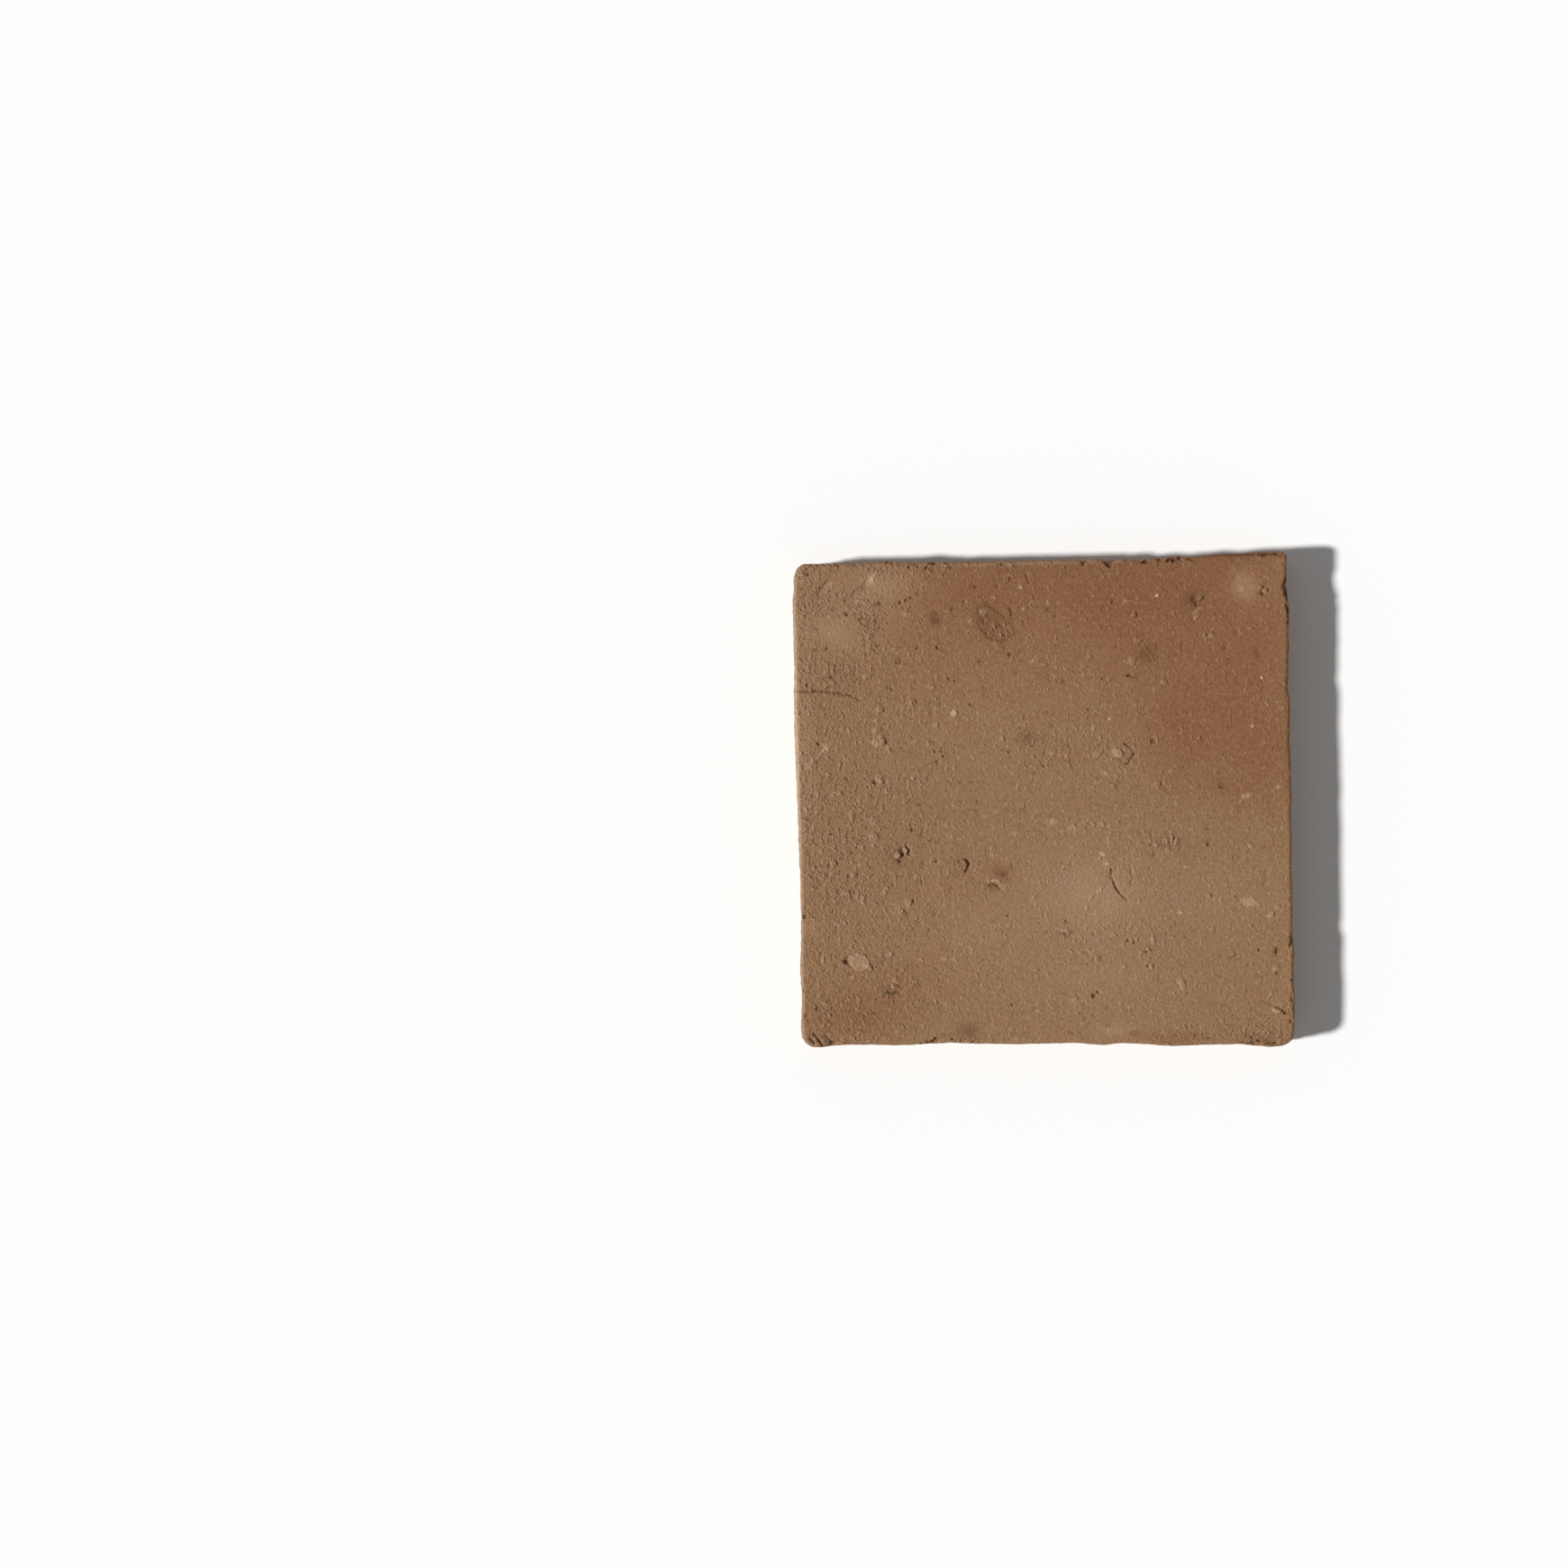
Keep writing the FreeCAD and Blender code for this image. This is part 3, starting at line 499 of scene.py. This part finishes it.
def near_feature(x, y, features):
    """True where the mesh needs to be fine: at pits, grains and cracks, and some tenths of a millimetre
    round them."""
    margin, crack_margin = 0.7, 0.9
    pits, grains, cracks = features
    fine = np.zeros(x.shape, bool)
    for pit_x, pit_y, radius, _ in pits:
        fine |= np.hypot(x - pit_x, y - pit_y) < radius + margin
    for grain_x, grain_y, long_way, short_way, turn, *_ in grains:
        fine |= oval(x, y, grain_x, grain_y, long_way + 2 * margin, short_way + 2 * margin, turn) < 1
    for _, _, points in cracks:
        fine |= line_distance(x, y, points) < crack_margin
    return fine


def on_crisp_rim(x, y):
    """True on the steep parts of the placed features, where the mesh has to be finest."""
    margin, crack_margin = 0.3, 0.5
    inner_rim, outer_rim = 0.5, 1.35
    crisp = np.zeros(x.shape, bool)
    for pit_x, pit_y, radius, _ in PITS:
        crisp |= np.hypot(x - pit_x, y - pit_y) < radius + margin
    for grain_x, grain_y, long_way, short_way, turn, *_ in LUMPS:
        away = oval(x, y, grain_x, grain_y, long_way, short_way, turn)
        crisp |= (away > inner_rim) & (away < outer_rim)
    for _, _, points in CRACKS:
        crisp |= line_distance(x, y, points) < crack_margin
    return crisp & (np.maximum(np.abs(x), np.abs(y)) < RIM_REACH)


def refine(bm, wanted):
    """Divides each wanted face of the flat plan into three by three."""
    bm.faces.ensure_lookup_table()
    middles = np.array([face.calc_center_median()[:2] for face in bm.faces]) / MM
    fine = wanted(middles[:, 0], middles[:, 1])
    # A dict holds each edge once and in the mesh's order, so that every run makes the same mesh.
    edges = dict.fromkeys(edge for face, chosen in zip(bm.faces, fine) if chosen for edge in face.edges)
    bmesh.ops.subdivide_edges(bm, edges=list(edges), cuts=2, use_grid_fill=True)


def grain_relief(x, y, grain, hollow, wander, lopsided):
    """Rise, dark and paleness of one grain: a dome that fills its socket, with soil and painted shade here
    and there along its ragged foot, and a crest paler partly from rubbing and partly as painted highlight."""
    # Millimetres: where the dome and the dark moat of soil and painted shade lie outside the rim and the
    # crest inside it, and two widths.
    foot, moat_out, moat_width = 0.2, 0.3, 0.2
    crest_in, crest_width = 0.4, 0.35
    grain_x, grain_y, long_way, short_way, turn, rise, paleness = grain
    width = (long_way + short_way) / 2
    ragged = min(0.45, 1 / short_way)
    away = oval(x, y, grain_x, grain_y, long_way, short_way, turn)
    away *= 1 + ragged * wander + 0.3 * lopsided
    inwards = (1 - away) * width / 2
    dome = np.clip((inwards + foot) / min(1.0, 0.3 * width), 0, 1)
    dome = dome * dome * (3 - 2 * dome)
    moat = np.exp(-((inwards + moat_out) / moat_width) ** 2) * np.clip(5 * ragged * wander - 0.1, 0, 1)
    crest = np.exp(-((inwards - crest_in) / crest_width) ** 2)
    tint = np.clip((inwards + 0.4) / (min(0.5 * short_way, 1.6) + 0.1), 0, 1)
    height = dome * (rise + hollow + 0.5 * wander * rise) - 0.4 * rise * moat
    # The moat's darkening is soil and painted shade at the grain's foot.
    soil_and_shade = moat * min(0.6, 1.2 * rise)
    # The crest's share of the paleness is partly rubbed wear and partly painted highlight.
    pallor_and_highlight = (paleness * tint + 0.12 * crest) * (1 + 0.8 * wander)
    return height, soil_and_shade, pallor_and_highlight


def pit_relief(x, y, pit, wander):
    """Rise and darkening of one pit: a ragged bowl with a low lip round it, darkest in the bowl with soil
    and painted shade.
    """
    pit_x, pit_y, radius, depth = pit
    away = np.hypot(x - pit_x, y - pit_y) / radius * (1 + 0.7 * wander)
    bowl = np.clip(1 - away ** 2, 0, None)
    lip = np.exp(-((away - 1.3) / 0.25) ** 2)
    # The bowl's darkening is soil and painted shade.
    return 0.12 * depth * lip - depth * bowl, 0.75 * np.clip(bowl * 1.4, 0, 1)


def crack_relief(x, y, crack, wander):
    """Rise and darkening of one crack: a groove that wanders off its line and is deeper in places, with soil
    and painted shade in it.
    """
    width, depth, points = crack
    away = line_distance(x + 0.5 * wander, y - 0.5 * wander, points)
    near = np.exp(-(away / (0.65 * width)) ** 2)
    near *= 0.85 + 0.5 * wander
    # The groove's darkening is soil and painted shade.
    return -depth * near, near * min(0.9, depth * 1.8)


def face_relief(x, y, hollow, wander, lopsided, features):
    """Height that the face's own pits, grains and cracks add, and how dark and how pale each makes it."""
    pits, grains, cracks = features
    height, dark, pale = np.zeros(x.shape), np.zeros(x.shape), np.zeros(x.shape)
    for grain in grains:
        rise, soil_and_shade, pallor_and_highlight = grain_relief(x, y, grain, hollow, wander, lopsided)
        height += rise
        dark = np.maximum(dark, soil_and_shade)
        pale = np.maximum(pale, pallor_and_highlight)
    for pit in pits:
        rise, soil_and_shade = pit_relief(x, y, pit, wander)
        height += rise
        dark = np.maximum(dark, soil_and_shade)
    for crack in cracks:
        rise, soil_and_shade = crack_relief(x, y, crack, wander)
        height += rise
        dark = np.maximum(dark, soil_and_shade)
    return height, np.clip(dark, 0, 1), np.clip(pale, 0, 1)


def edge_shift(x, y, z):
    """How far the swells of the sides push points outwards in x and in y. A narrow one is a chip, and
    dies out from three to five times its reach below the face."""
    ways = {"north": (0, 1), "south": (0, -1), "east": (1, 0), "west": (-1, 0)}
    out_x, out_y = np.zeros(x.shape), np.zeros(x.shape)
    for side, place, reach, push in EDGE_SWELLS:
        way_x, way_y = ways[side]
        along = (x if way_x == 0 else y) - place
        inwards = np.clip(RIM_REACH - (x * way_x + y * way_y), 0, None)
        part = push * np.exp(-(along / reach) ** 2 - (inwards / SWELL_REACH) ** 2)
        if reach < CHIP_WIDTH:
            part *= np.clip((z - FACE_Z) / (2 * reach) + 2.5, 0, 1)
        out_x += way_x * part
        out_y += way_y * part
    return out_x, out_y


def patches(x, y, ovals):
    """Soft ovals of tone, added up."""
    steepness = 1.2
    total = np.zeros(x.shape)
    for middle_x, middle_y, long_way, short_way, turn, strength in ovals:
        away = oval(x, y, middle_x, middle_y, long_way, short_way, turn)
        total += strength * np.exp(-steepness * away ** 2)
    return np.clip(total, -1, 1)


def side_point(skin, x, y, height):
    """Where a level line from beside the tile to its middle, through x and y, meets the CAD skin, and the
    skin's normal there."""
    way = Vector((x, y, 0)).normalized()
    spot, normal, *_ = skin.ray_cast(way * BESIDE + Vector((0, 0, height)), -way)
    return spot, normal


def plan_points(bm, pitch, skin):
    """Lays a square grid of the face out to the tile's own outline, with closer rows at the arris."""
    flat_half = HALF_FACE - ARRIS_ROWS[-1]
    inner = int(round(2 * flat_half / pitch))
    count = inner + 2 * (len(ARRIS_ROWS) - 1)
    bmesh.ops.create_grid(bm, x_segments=count, y_segments=count, size=1)
    steps = [-HALF_FACE + row for row in ARRIS_ROWS]
    steps += list(np.linspace(-flat_half, flat_half, inner + 1)[1:-1])
    steps += [HALF_FACE - row for row in reversed(ARRIS_ROWS)]
    for vert in bm.verts:
        column, row = [int(round((part + 1) / 2 * count)) for part in vert.co[:2]]
        x, y = steps[column], steps[row]
        reach = max(abs(x), abs(y))
        stretch = 1.0
        # The grid leans to the outline in its outer part, and only just inside the rim does it lean far.
        if reach > HALF_FACE / 2:
            outline, _ = side_point(skin, x, y, FACE_Z * MM / 2)
            square = HALF_FACE * MM * math.hypot(x, y) / reach
            stretch += (math.hypot(outline.x, outline.y) / square - 1) * (reach / HALF_FACE) ** 10
        vert.co = (x * MM * stretch, y * MM * stretch, 0)


def set_on_skin(verts, skin, up):
    """Drops points straight onto the CAD face from above, or lifts them onto the bed from below."""
    found = {}
    for vert in verts:
        start = Vector((vert.co.x, vert.co.y, CLEAR * up))
        spot, normal, *_ = skin.ray_cast(start, Vector((0, 0, -up)))
        if spot is None:
            raise RuntimeError(f"no face under {vert.co}")
        vert.co = spot
        found[vert] = normal
    return found


def build_sides(bm, skin):
    """Carries the face's rim down the sides and round the foot, each ring on the CAD skin."""
    rim = [edge for edge in bm.edges if edge.is_boundary]
    normals = {}
    for ring in SIDE_RINGS:
        made = bmesh.ops.extrude_edge_only(bm, edges=rim)["geom"]
        rim = [part for part in made if isinstance(part, bmesh.types.BMEdge) and part.is_boundary]
        for vert in {vert for edge in rim for vert in edge.verts}:
            vert.co, normals[vert] = side_point(skin, vert.co.x, vert.co.y, ring * MM)
    return rim, normals


def build_bed(bm, rim, skin):
    """Closes the underside with a coarser grid, bridged to the foot."""
    made = bmesh.ops.create_grid(bm, x_segments=BED_CELLS, y_segments=BED_CELLS, size=1)["verts"]
    inner = RIM_REACH * MM
    for vert in made:
        reach = max(abs(vert.co.x), abs(vert.co.y))
        if reach > 0:
            outline, _ = side_point(skin, vert.co.x, vert.co.y, FACE_Z * MM / 2)
            outer = (math.hypot(outline.x, outline.y) - BED_GAP * MM) / (vert.co.length / reach)
            vert.co = vert.co * (inner + (outer - inner) * reach ** 6)
    normals = set_on_skin(made, skin, -1)
    inside = set(made)
    border = [edge for edge in bm.edges if edge.is_boundary and edge.verts[0] in inside]
    bmesh.ops.bridge_loops(bm, edges=rim + border)
    return normals


def move_points(settings, spots, ways, on_face, features):
    """Moves points in place from the CAD skin to the tile's own surface, and returns the tones there."""
    # These are views of the spots, so each move below shows in them.
    x, y, z = spots.T
    upward = np.clip(ways[:, 2], 0, 1) * on_face
    wander = np.array([noise.noise(Vector(spot) * RIM_NOISE) for spot in spots])
    coarse = np.array([noise.fractal(Vector(spot) * COARSE_NOISE, *COARSE_LAYERS) for spot in spots])
    swell_start = Vector(SWELL_START)
    swell = np.array([noise.noise(Vector(spot) * SWELL_NOISE + swell_start) for spot in spots])
    torn = np.array([noise.fractal(Vector(spot * DRAG_NOISE), *DRAG_LAYERS) for spot in spots])
    flat = np.maximum(np.abs(x), np.abs(y)) < FLAT_REACH
    hollow = np.where(flat, np.clip(FACE_Z - z, 0, SOCKET_DEPTH), 0)
    height, dark, pale = face_relief(x, y, hollow, wander, coarse, features)
    rough = np.clip(WEST_ROUGHNESS - (x + HALF_FACE) / ROUGHNESS_FADE, EAST_ROUGHNESS, WEST_ROUGHNESS)
    rough = np.clip(rough + PATCH_ROUGHNESS * patches(x, y, ROUGH_PATCHES), *ROUGHNESS_LIMITS)
    height += settings.roughness_height / MM * coarse * rough + settings.swell / MM * swell

    calm = np.clip((CALM_FROM + CALM_OVER - z) / CALM_OVER, LEAST_DRAG, 1)
    drag = settings.side_roughness / MM * torn - SIDE_SINK
    ragged = (1 - upward) * (z > FLAT_FOOT) * calm * drag
    spots += ways * ragged[:, None]
    spots[:, 2] += np.where(on_face, np.maximum(height, RELIEF_FLOOR - z), 0)
    out_x, out_y = edge_shift(x, y, z)
    spots[:, 0] += out_x
    spots[:, 1] += out_y
    spots[:, 2] = np.clip(spots[:, 2], 0, None)

    up_the_side = np.clip(z / FACE_Z, 0, 1)
    near_face = np.clip((z - FACE_Z) / PALE_RUN_DEPTH + 1, 0, 1)
    return {
        "redness": up_the_side * patches(x, y, RED_PATCHES),
        "paleness": np.clip(on_face * pale + near_face * patches(x, y, PALE_PATCHES), 0, 1),
        "darkness": on_face * np.clip(dark + patches(x, y, DARK_PATCHES), 0, 1),
        "coarseness": rough,
    }


def smooth_lips(bm, low):
    """Eases the points that lie in the chips and those next to them, so that the lips run down softly."""
    lips = list({vert for start in low for edge in start.link_edges for vert in edge.verts})
    for _ in range(LIP_PASSES):
        bmesh.ops.smooth_vert(
            bm, verts=lips, factor=0.5, use_axis_x=True, use_axis_y=True, use_axis_z=True)


def tile_mesh(settings):
    """The tile as a closed mesh on the CAD skin, with its relief and its tones."""
    skin = BVHTree.FromObject(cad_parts[NODE], bpy.context.evaluated_depsgraph_get())
    features = scattered_features()
    bm = bmesh.new()
    plan_points(bm, settings.mesh_pitch / MM, skin)
    refine(bm, lambda x, y: near_feature(x, y, features))
    refine(bm, on_crisp_rim)
    normals = set_on_skin(list(bm.verts), skin, 1)
    face_verts = set(bm.verts)
    rim, side_normals = build_sides(bm, skin)
    normals.update(side_normals)
    normals.update(build_bed(bm, rim, skin))
    bmesh.ops.recalc_face_normals(bm, faces=bm.faces)

    verts = list(bm.verts)
    spots = np.array([vert.co for vert in verts]) / MM
    ways = np.array([normals[vert] for vert in verts])
    on_face = np.array([vert in face_verts for vert in verts])
    in_chip = on_face & (spots[:, 2] < RELIEF_FLOOR)
    tones = move_points(settings, spots, ways, on_face, features)
    for vert, spot in zip(verts, spots):
        vert.co = Vector(spot) * MM
    smooth_lips(bm, [vert for vert, low in zip(verts, in_chip) if low])

    mesh = bpy.data.meshes.new(NODE)
    bm.to_mesh(mesh)
    bm.free()
    mesh.shade_smooth()
    for name, values in tones.items():
        mesh.attributes.new(name, "FLOAT", "POINT").data.foreach_set("value", values.astype(np.float32))
    return mesh


def node(tree, kind, inputs=None, **settings):
    """Adds a shader node, sets its fields, and fills its sockets or links them, to a node's first output
    where a node is given."""
    made = tree.nodes.new(kind)
    for key, value in settings.items():
        setattr(made, key, value)
    for key, value in (inputs or {}).items():
        if isinstance(value, bpy.types.Node):
            value = value.outputs[0]
        if isinstance(value, bpy.types.NodeSocket):
            tree.links.new(value, made.inputs[key])
        else:
            made.inputs[key].default_value = value
    return made


def clay_patterns(tree):
    """The patterns that the clay's colour and relief share, by name."""
    place = node(tree, "ShaderNodeTexCoord").outputs["Object"]
    clay = {}
    for name in ("redness", "paleness", "darkness", "coarseness"):
        clay[name] = node(tree, "ShaderNodeAttribute", attribute_name=name).outputs["Fac"]
    for name, (size, detail) in CLAY_NOISES.items():
        sizes = {"Vector": place, "Scale": 1 / (size * MM), "Detail": detail}
        clay[name] = node(tree, "ShaderNodeTexNoise", sizes).outputs["Fac"]

    # Pores lie in cells a few millimetres wide, bent out of round, thicker in some places.
    bend = node(tree, "ShaderNodeTexNoise", {"Vector": place, "Scale": 1 / (PORE_BEND * MM), "Detail": 1})
    bent = node(tree, "ShaderNodeVectorMath",
                {0: bend.outputs["Color"], 1: (PORE_BEND_REACH * MM,) * 3, 2: place},
                operation="MULTIPLY_ADD")
    cells = node(tree, "ShaderNodeTexVoronoi", {"Vector": bent, "Scale": 1 / (PORE_CELL * MM)})
    chosen = node(tree, "ShaderNodeMapRange", {0: cells.outputs["Color"], 1: 0.6, 2: 0.66})
    pores = node(tree, "ShaderNodeMapRange", {0: cells.outputs["Distance"], 1: 0.2, 2: 0.05},
                 interpolation_type="SMOOTHSTEP")
    pores = node(tree, "ShaderNodeMath", {0: chosen, 1: pores}, operation="MULTIPLY")
    crowd = node(tree, "ShaderNodeMapRange", {0: clay["drift"], 1: 0.46, 2: 0.62})
    clay["pores"] = node(tree, "ShaderNodeMath", {0: pores, 1: crowd}, operation="MULTIPLY")

    # Crumbs stand on the ground and dents lie in it where a noise rises over a level, which is lower
    # where the ground is coarse.
    thick = node(tree, "ShaderNodeMath", {0: clay["coarseness"], 1: 0.09}, operation="MULTIPLY")
    thick = node(tree, "ShaderNodeMath", {0: clay["drift"], 1: 0.22, 2: thick}, operation="MULTIPLY_ADD")
    for name, source in (("raised", "crumbs"), ("sunk", "dents")):
        risen = node(tree, "ShaderNodeMath", {0: thick, 1: clay[source]}, operation="ADD")
        clay[name] = node(tree, "ShaderNodeMapRange", {0: risen, 1: 0.765, 2: 0.985})
    return clay


def clay_colour(tree, settings, clay):
    """Buff where the kiln was cooler and red where it burnt harder, mottled at two sizes and flecked, then
    rubbed crumbs, partly wear and partly painted highlight, pale lime, which also paints highlight on the
    west arris and grain crests, and soil with painted shade in pits, cracks, pores and dents over it."""
    red = node(tree, "ShaderNodeMath", {0: clay["mottle"], 1: 0.55, 2: -0.275}, operation="MULTIPLY_ADD")
    red = node(tree, "ShaderNodeMath", {0: clay["cloud"], 1: 0.35, 2: red}, operation="MULTIPLY_ADD")
    red = node(tree, "ShaderNodeMath", {0: red, 1: clay["redness"]}, operation="ADD")
    red = node(tree, "ShaderNodeMapRange", {0: red, 1: 0.12, 2: 1.12})
    body = node(tree, "ShaderNodeMix", {0: red, 6: (*settings.buff, 1), 7: (*settings.terracotta, 1)},
                data_type="RGBA")
    fleck = node(tree, "ShaderNodeMath", {0: clay["grain"], 1: clay["crumbs"]}, operation="ADD")
    fleck = node(tree, "ShaderNodeMapRange", {0: fleck, 1: 0.7, 2: 1.3, 3: 0.84, 4: 1.16})
    body = node(tree, "ShaderNodeMix", {0: 1.0, 6: body.outputs[2], 7: fleck},
                data_type="RGBA", blend_type="MULTIPLY")
    # Crumb tops take the rubbed colour: partly wear, partly painted highlight.
    crumbs = node(tree, "ShaderNodeMath", {0: clay["raised"], 1: RUBBED_AND_HIGHLIGHT_SHARE},
                  operation="MULTIPLY", use_clamp=True)
    # Soil and painted shade: the umber goes where the dark tones, pores and dents are.
    soil_and_shade = clay["darkness"]
    for part, share in SOIL_AND_SHADE_PARTS.items():
        soil_and_shade = node(tree, "ShaderNodeMath", {0: clay[part], 1: share, 2: soil_and_shade}, operation="MULTIPLY_ADD")
    soil_and_shade = node(tree, "ShaderNodeMath", {0: soil_and_shade, 1: SOIL_AND_SHADE_SHARE}, operation="MULTIPLY", use_clamp=True)
    layers = (
        (crumbs, settings.rubbed_and_highlight),
        (clay["paleness"], settings.pale),
        (soil_and_shade, settings.umber),
    )
    for share, tint in layers:
        body = node(tree, "ShaderNodeMix", {0: share, 6: body.outputs[2], 7: (*tint, 1)}, data_type="RGBA")
    return body.outputs[2]


def clay_relief(tree, settings, clay):
    """A calm ground with the crumbs on it and the dents in it, stronger where the face is coarser."""
    relief = 0.0
    for part, share in RELIEF_PARTS.items():
        relief = node(tree, "ShaderNodeMath", {0: clay[part], 1: share, 2: relief}, operation="MULTIPLY_ADD")
    relief = node(tree, "ShaderNodeMath", {0: relief, 1: clay["coarseness"]}, operation="MULTIPLY")
    bump = node(tree, "ShaderNodeBump", {"Height": relief, "Distance": settings.grit_height})
    return bump.outputs["Normal"]


def terracotta_material(settings):
    """Fired terracotta, struck by hand, sanded and worn: matt, mottled from buff to red-brown, with
    fine grit that catches the light, soil and painted shade in its pits, paler crumb tops that are partly
    painted highlight, and pale grains of lime."""
    material = bpy.data.materials.new("fired_terracotta_hand_struck")
    material.use_nodes = True
    tree = material.node_tree
    clay = clay_patterns(tree)
    shader = tree.nodes["Principled BSDF"]
    tree.links.new(clay_colour(tree, settings, clay), shader.inputs["Base Color"])
    tree.links.new(clay_relief(tree, settings, clay), shader.inputs["Normal"])
    shader.inputs["Roughness"].default_value = 0.92
    shader.inputs["IOR"].default_value = 1.5
    shader.inputs["Specular IOR Level"].default_value = 0.25
    return material


def paper_material(settings):
    """Seamless paper: matt, without any gloss, and so near white that only the tile's shadow shows."""
    material = bpy.data.materials.new("matt_seamless_paper")
    material.use_nodes = True
    shader = material.node_tree.nodes["Principled BSDF"]
    shader.inputs["Base Color"].default_value = (*settings.paper, 1)
    shader.inputs["Roughness"].default_value = 1.0
    shader.inputs["Specular IOR Level"].default_value = 0.0
    return material


def lay_paper(scene, settings):
    """A wide sheet just under the tile's bed."""
    bm = bmesh.new()
    bmesh.ops.create_grid(bm, x_segments=1, y_segments=1, size=PAPER_REACH)
    bmesh.ops.translate(bm, verts=bm.verts, vec=(0, 0, -settings.floor_gap))
    mesh = bpy.data.meshes.new("paper_floor")
    bm.to_mesh(mesh)
    bm.free()
    floor = bpy.data.objects.new("paper_floor", mesh)
    scene.collection.objects.link(floor)
    mesh.materials.append(paper_material(settings))


def hang_light(scene, settings):
    """The main light, a sun that gives its share of the light on a level face."""
    lamp = bpy.data.lights.new("key", "SUN")
    lamp.angle = settings.light_softness
    lamp.energy = math.pi * settings.key_share / math.sin(settings.light_height)
    key = bpy.data.objects.new("key", lamp)
    level = math.cos(settings.light_height)
    heading = Vector((
        level * math.cos(settings.light_heading),
        level * math.sin(settings.light_heading),
        -math.sin(settings.light_height)))
    key.rotation_euler = heading.to_track_quat("-Z", "Y").to_euler()
    scene.collection.objects.link(key)


def fill_room(scene, settings):
    """A white room that gives the rest of the light, and is plain white where it is seen."""
    world = bpy.data.worlds.new("white_room")
    world.use_nodes = True
    tree = world.node_tree
    rays = node(tree, "ShaderNodeLightPath").outputs
    seen = node(tree, "ShaderNodeMath", {0: rays["Is Camera Ray"], 1: rays["Is Glossy Ray"]},
                operation="MAXIMUM")
    seen = node(tree, "ShaderNodeMath", {0: seen, 1: rays["Is Transmission Ray"]}, operation="MAXIMUM")
    strength = node(tree, "ShaderNodeMapRange", {0: seen, 3: 1 - settings.key_share, 4: 1.0})
    background = tree.nodes["Background"]
    tree.links.new(strength.outputs[0], background.inputs["Strength"])
    background.inputs["Color"].default_value = (1, 1, 1, 1)
    scene.world = world


def set_camera(scene, settings):
    """A camera that looks straight down, with the tile where it lies in the picture."""
    lens = bpy.data.cameras.new("camera")
    camera = bpy.data.objects.new("camera", lens)
    middle = IMAGE_PIXELS / 2
    dx, dy = middle - TILE_PIXEL[0], middle - TILE_PIXEL[1]
    camera.location = (
        MM_PER_PIXEL * (dx - TILE_SLOPE * dy) * MM,
        -MM_PER_PIXEL * (dy + TILE_SLOPE * dx) * MM,
        FACE_Z * MM + settings.camera_height)
    camera.rotation_euler = (0, 0, -TILE_SLOPE)
    lens.lens = lens.sensor_width * settings.camera_height / (IMAGE_PIXELS * MM_PER_PIXEL * MM)
    scene.collection.objects.link(camera)
    scene.camera = camera


class TERRACOTTA_OT_tile(bpy.types.Operator):
    """Make the terracotta tile on its CAD solid"""

    bl_idname = "terracotta.make_tile"
    bl_label = "Make tile"

    def execute(self, context):
        settings = context.scene.tile_settings
        tile = bpy.data.objects.new("tile_body", tile_mesh(settings))
        context.scene.collection.objects.link(tile)
        tile.data.materials.append(terracotta_material(settings))
        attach(tile, BODY)
        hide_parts(NODE)
        return {"FINISHED"}


class TERRACOTTA_OT_stage(bpy.types.Operator):
    """Lay the paper floor and set the camera and the light"""

    bl_idname = "terracotta.set_stage"
    bl_label = "Set stage"

    def execute(self, context):
        scene = context.scene
        settings = scene.stage_settings
        lay_paper(scene, settings)
        hang_light(scene, settings)
        fill_room(scene, settings)
        set_camera(scene, settings)
        scene.view_settings.view_transform = "Standard"
        return {"FINISHED"}


class TERRACOTTA_PT_tile(bpy.types.Panel):
    """Sizes and colours, with a button for each step"""

    bl_idname = "TERRACOTTA_PT_tile"
    bl_label = "Terracotta tile"
    bl_space_type = "VIEW_3D"
    bl_region_type = "UI"
    bl_category = "Tile"

    def draw(self, context):
        steps = (("tile_settings", TERRACOTTA_OT_tile), ("stage_settings", TERRACOTTA_OT_stage))
        for group, operator in steps:
            settings = getattr(context.scene, group)
            box = self.layout.box()
            for name in settings.bl_rna.properties.keys():
                if name not in ("rna_type", "name"):
                    box.prop(settings, name)
            box.operator(operator.bl_idname)


CLASSES = (TileSettings, StageSettings, TERRACOTTA_OT_tile, TERRACOTTA_OT_stage, TERRACOTTA_PT_tile)


def register():
    for made in CLASSES:
        bpy.utils.register_class(made)
    bpy.types.Scene.tile_settings = bpy.props.PointerProperty(type=TileSettings)
    bpy.types.Scene.stage_settings = bpy.props.PointerProperty(type=StageSettings)


def unregister():
    del bpy.types.Scene.tile_settings
    del bpy.types.Scene.stage_settings
    for made in reversed(CLASSES):
        bpy.utils.unregister_class(made)


def main():
    register()
    bpy.ops.terracotta.make_tile()
    bpy.ops.terracotta.set_stage()


if __name__ == "__main__":
    main()
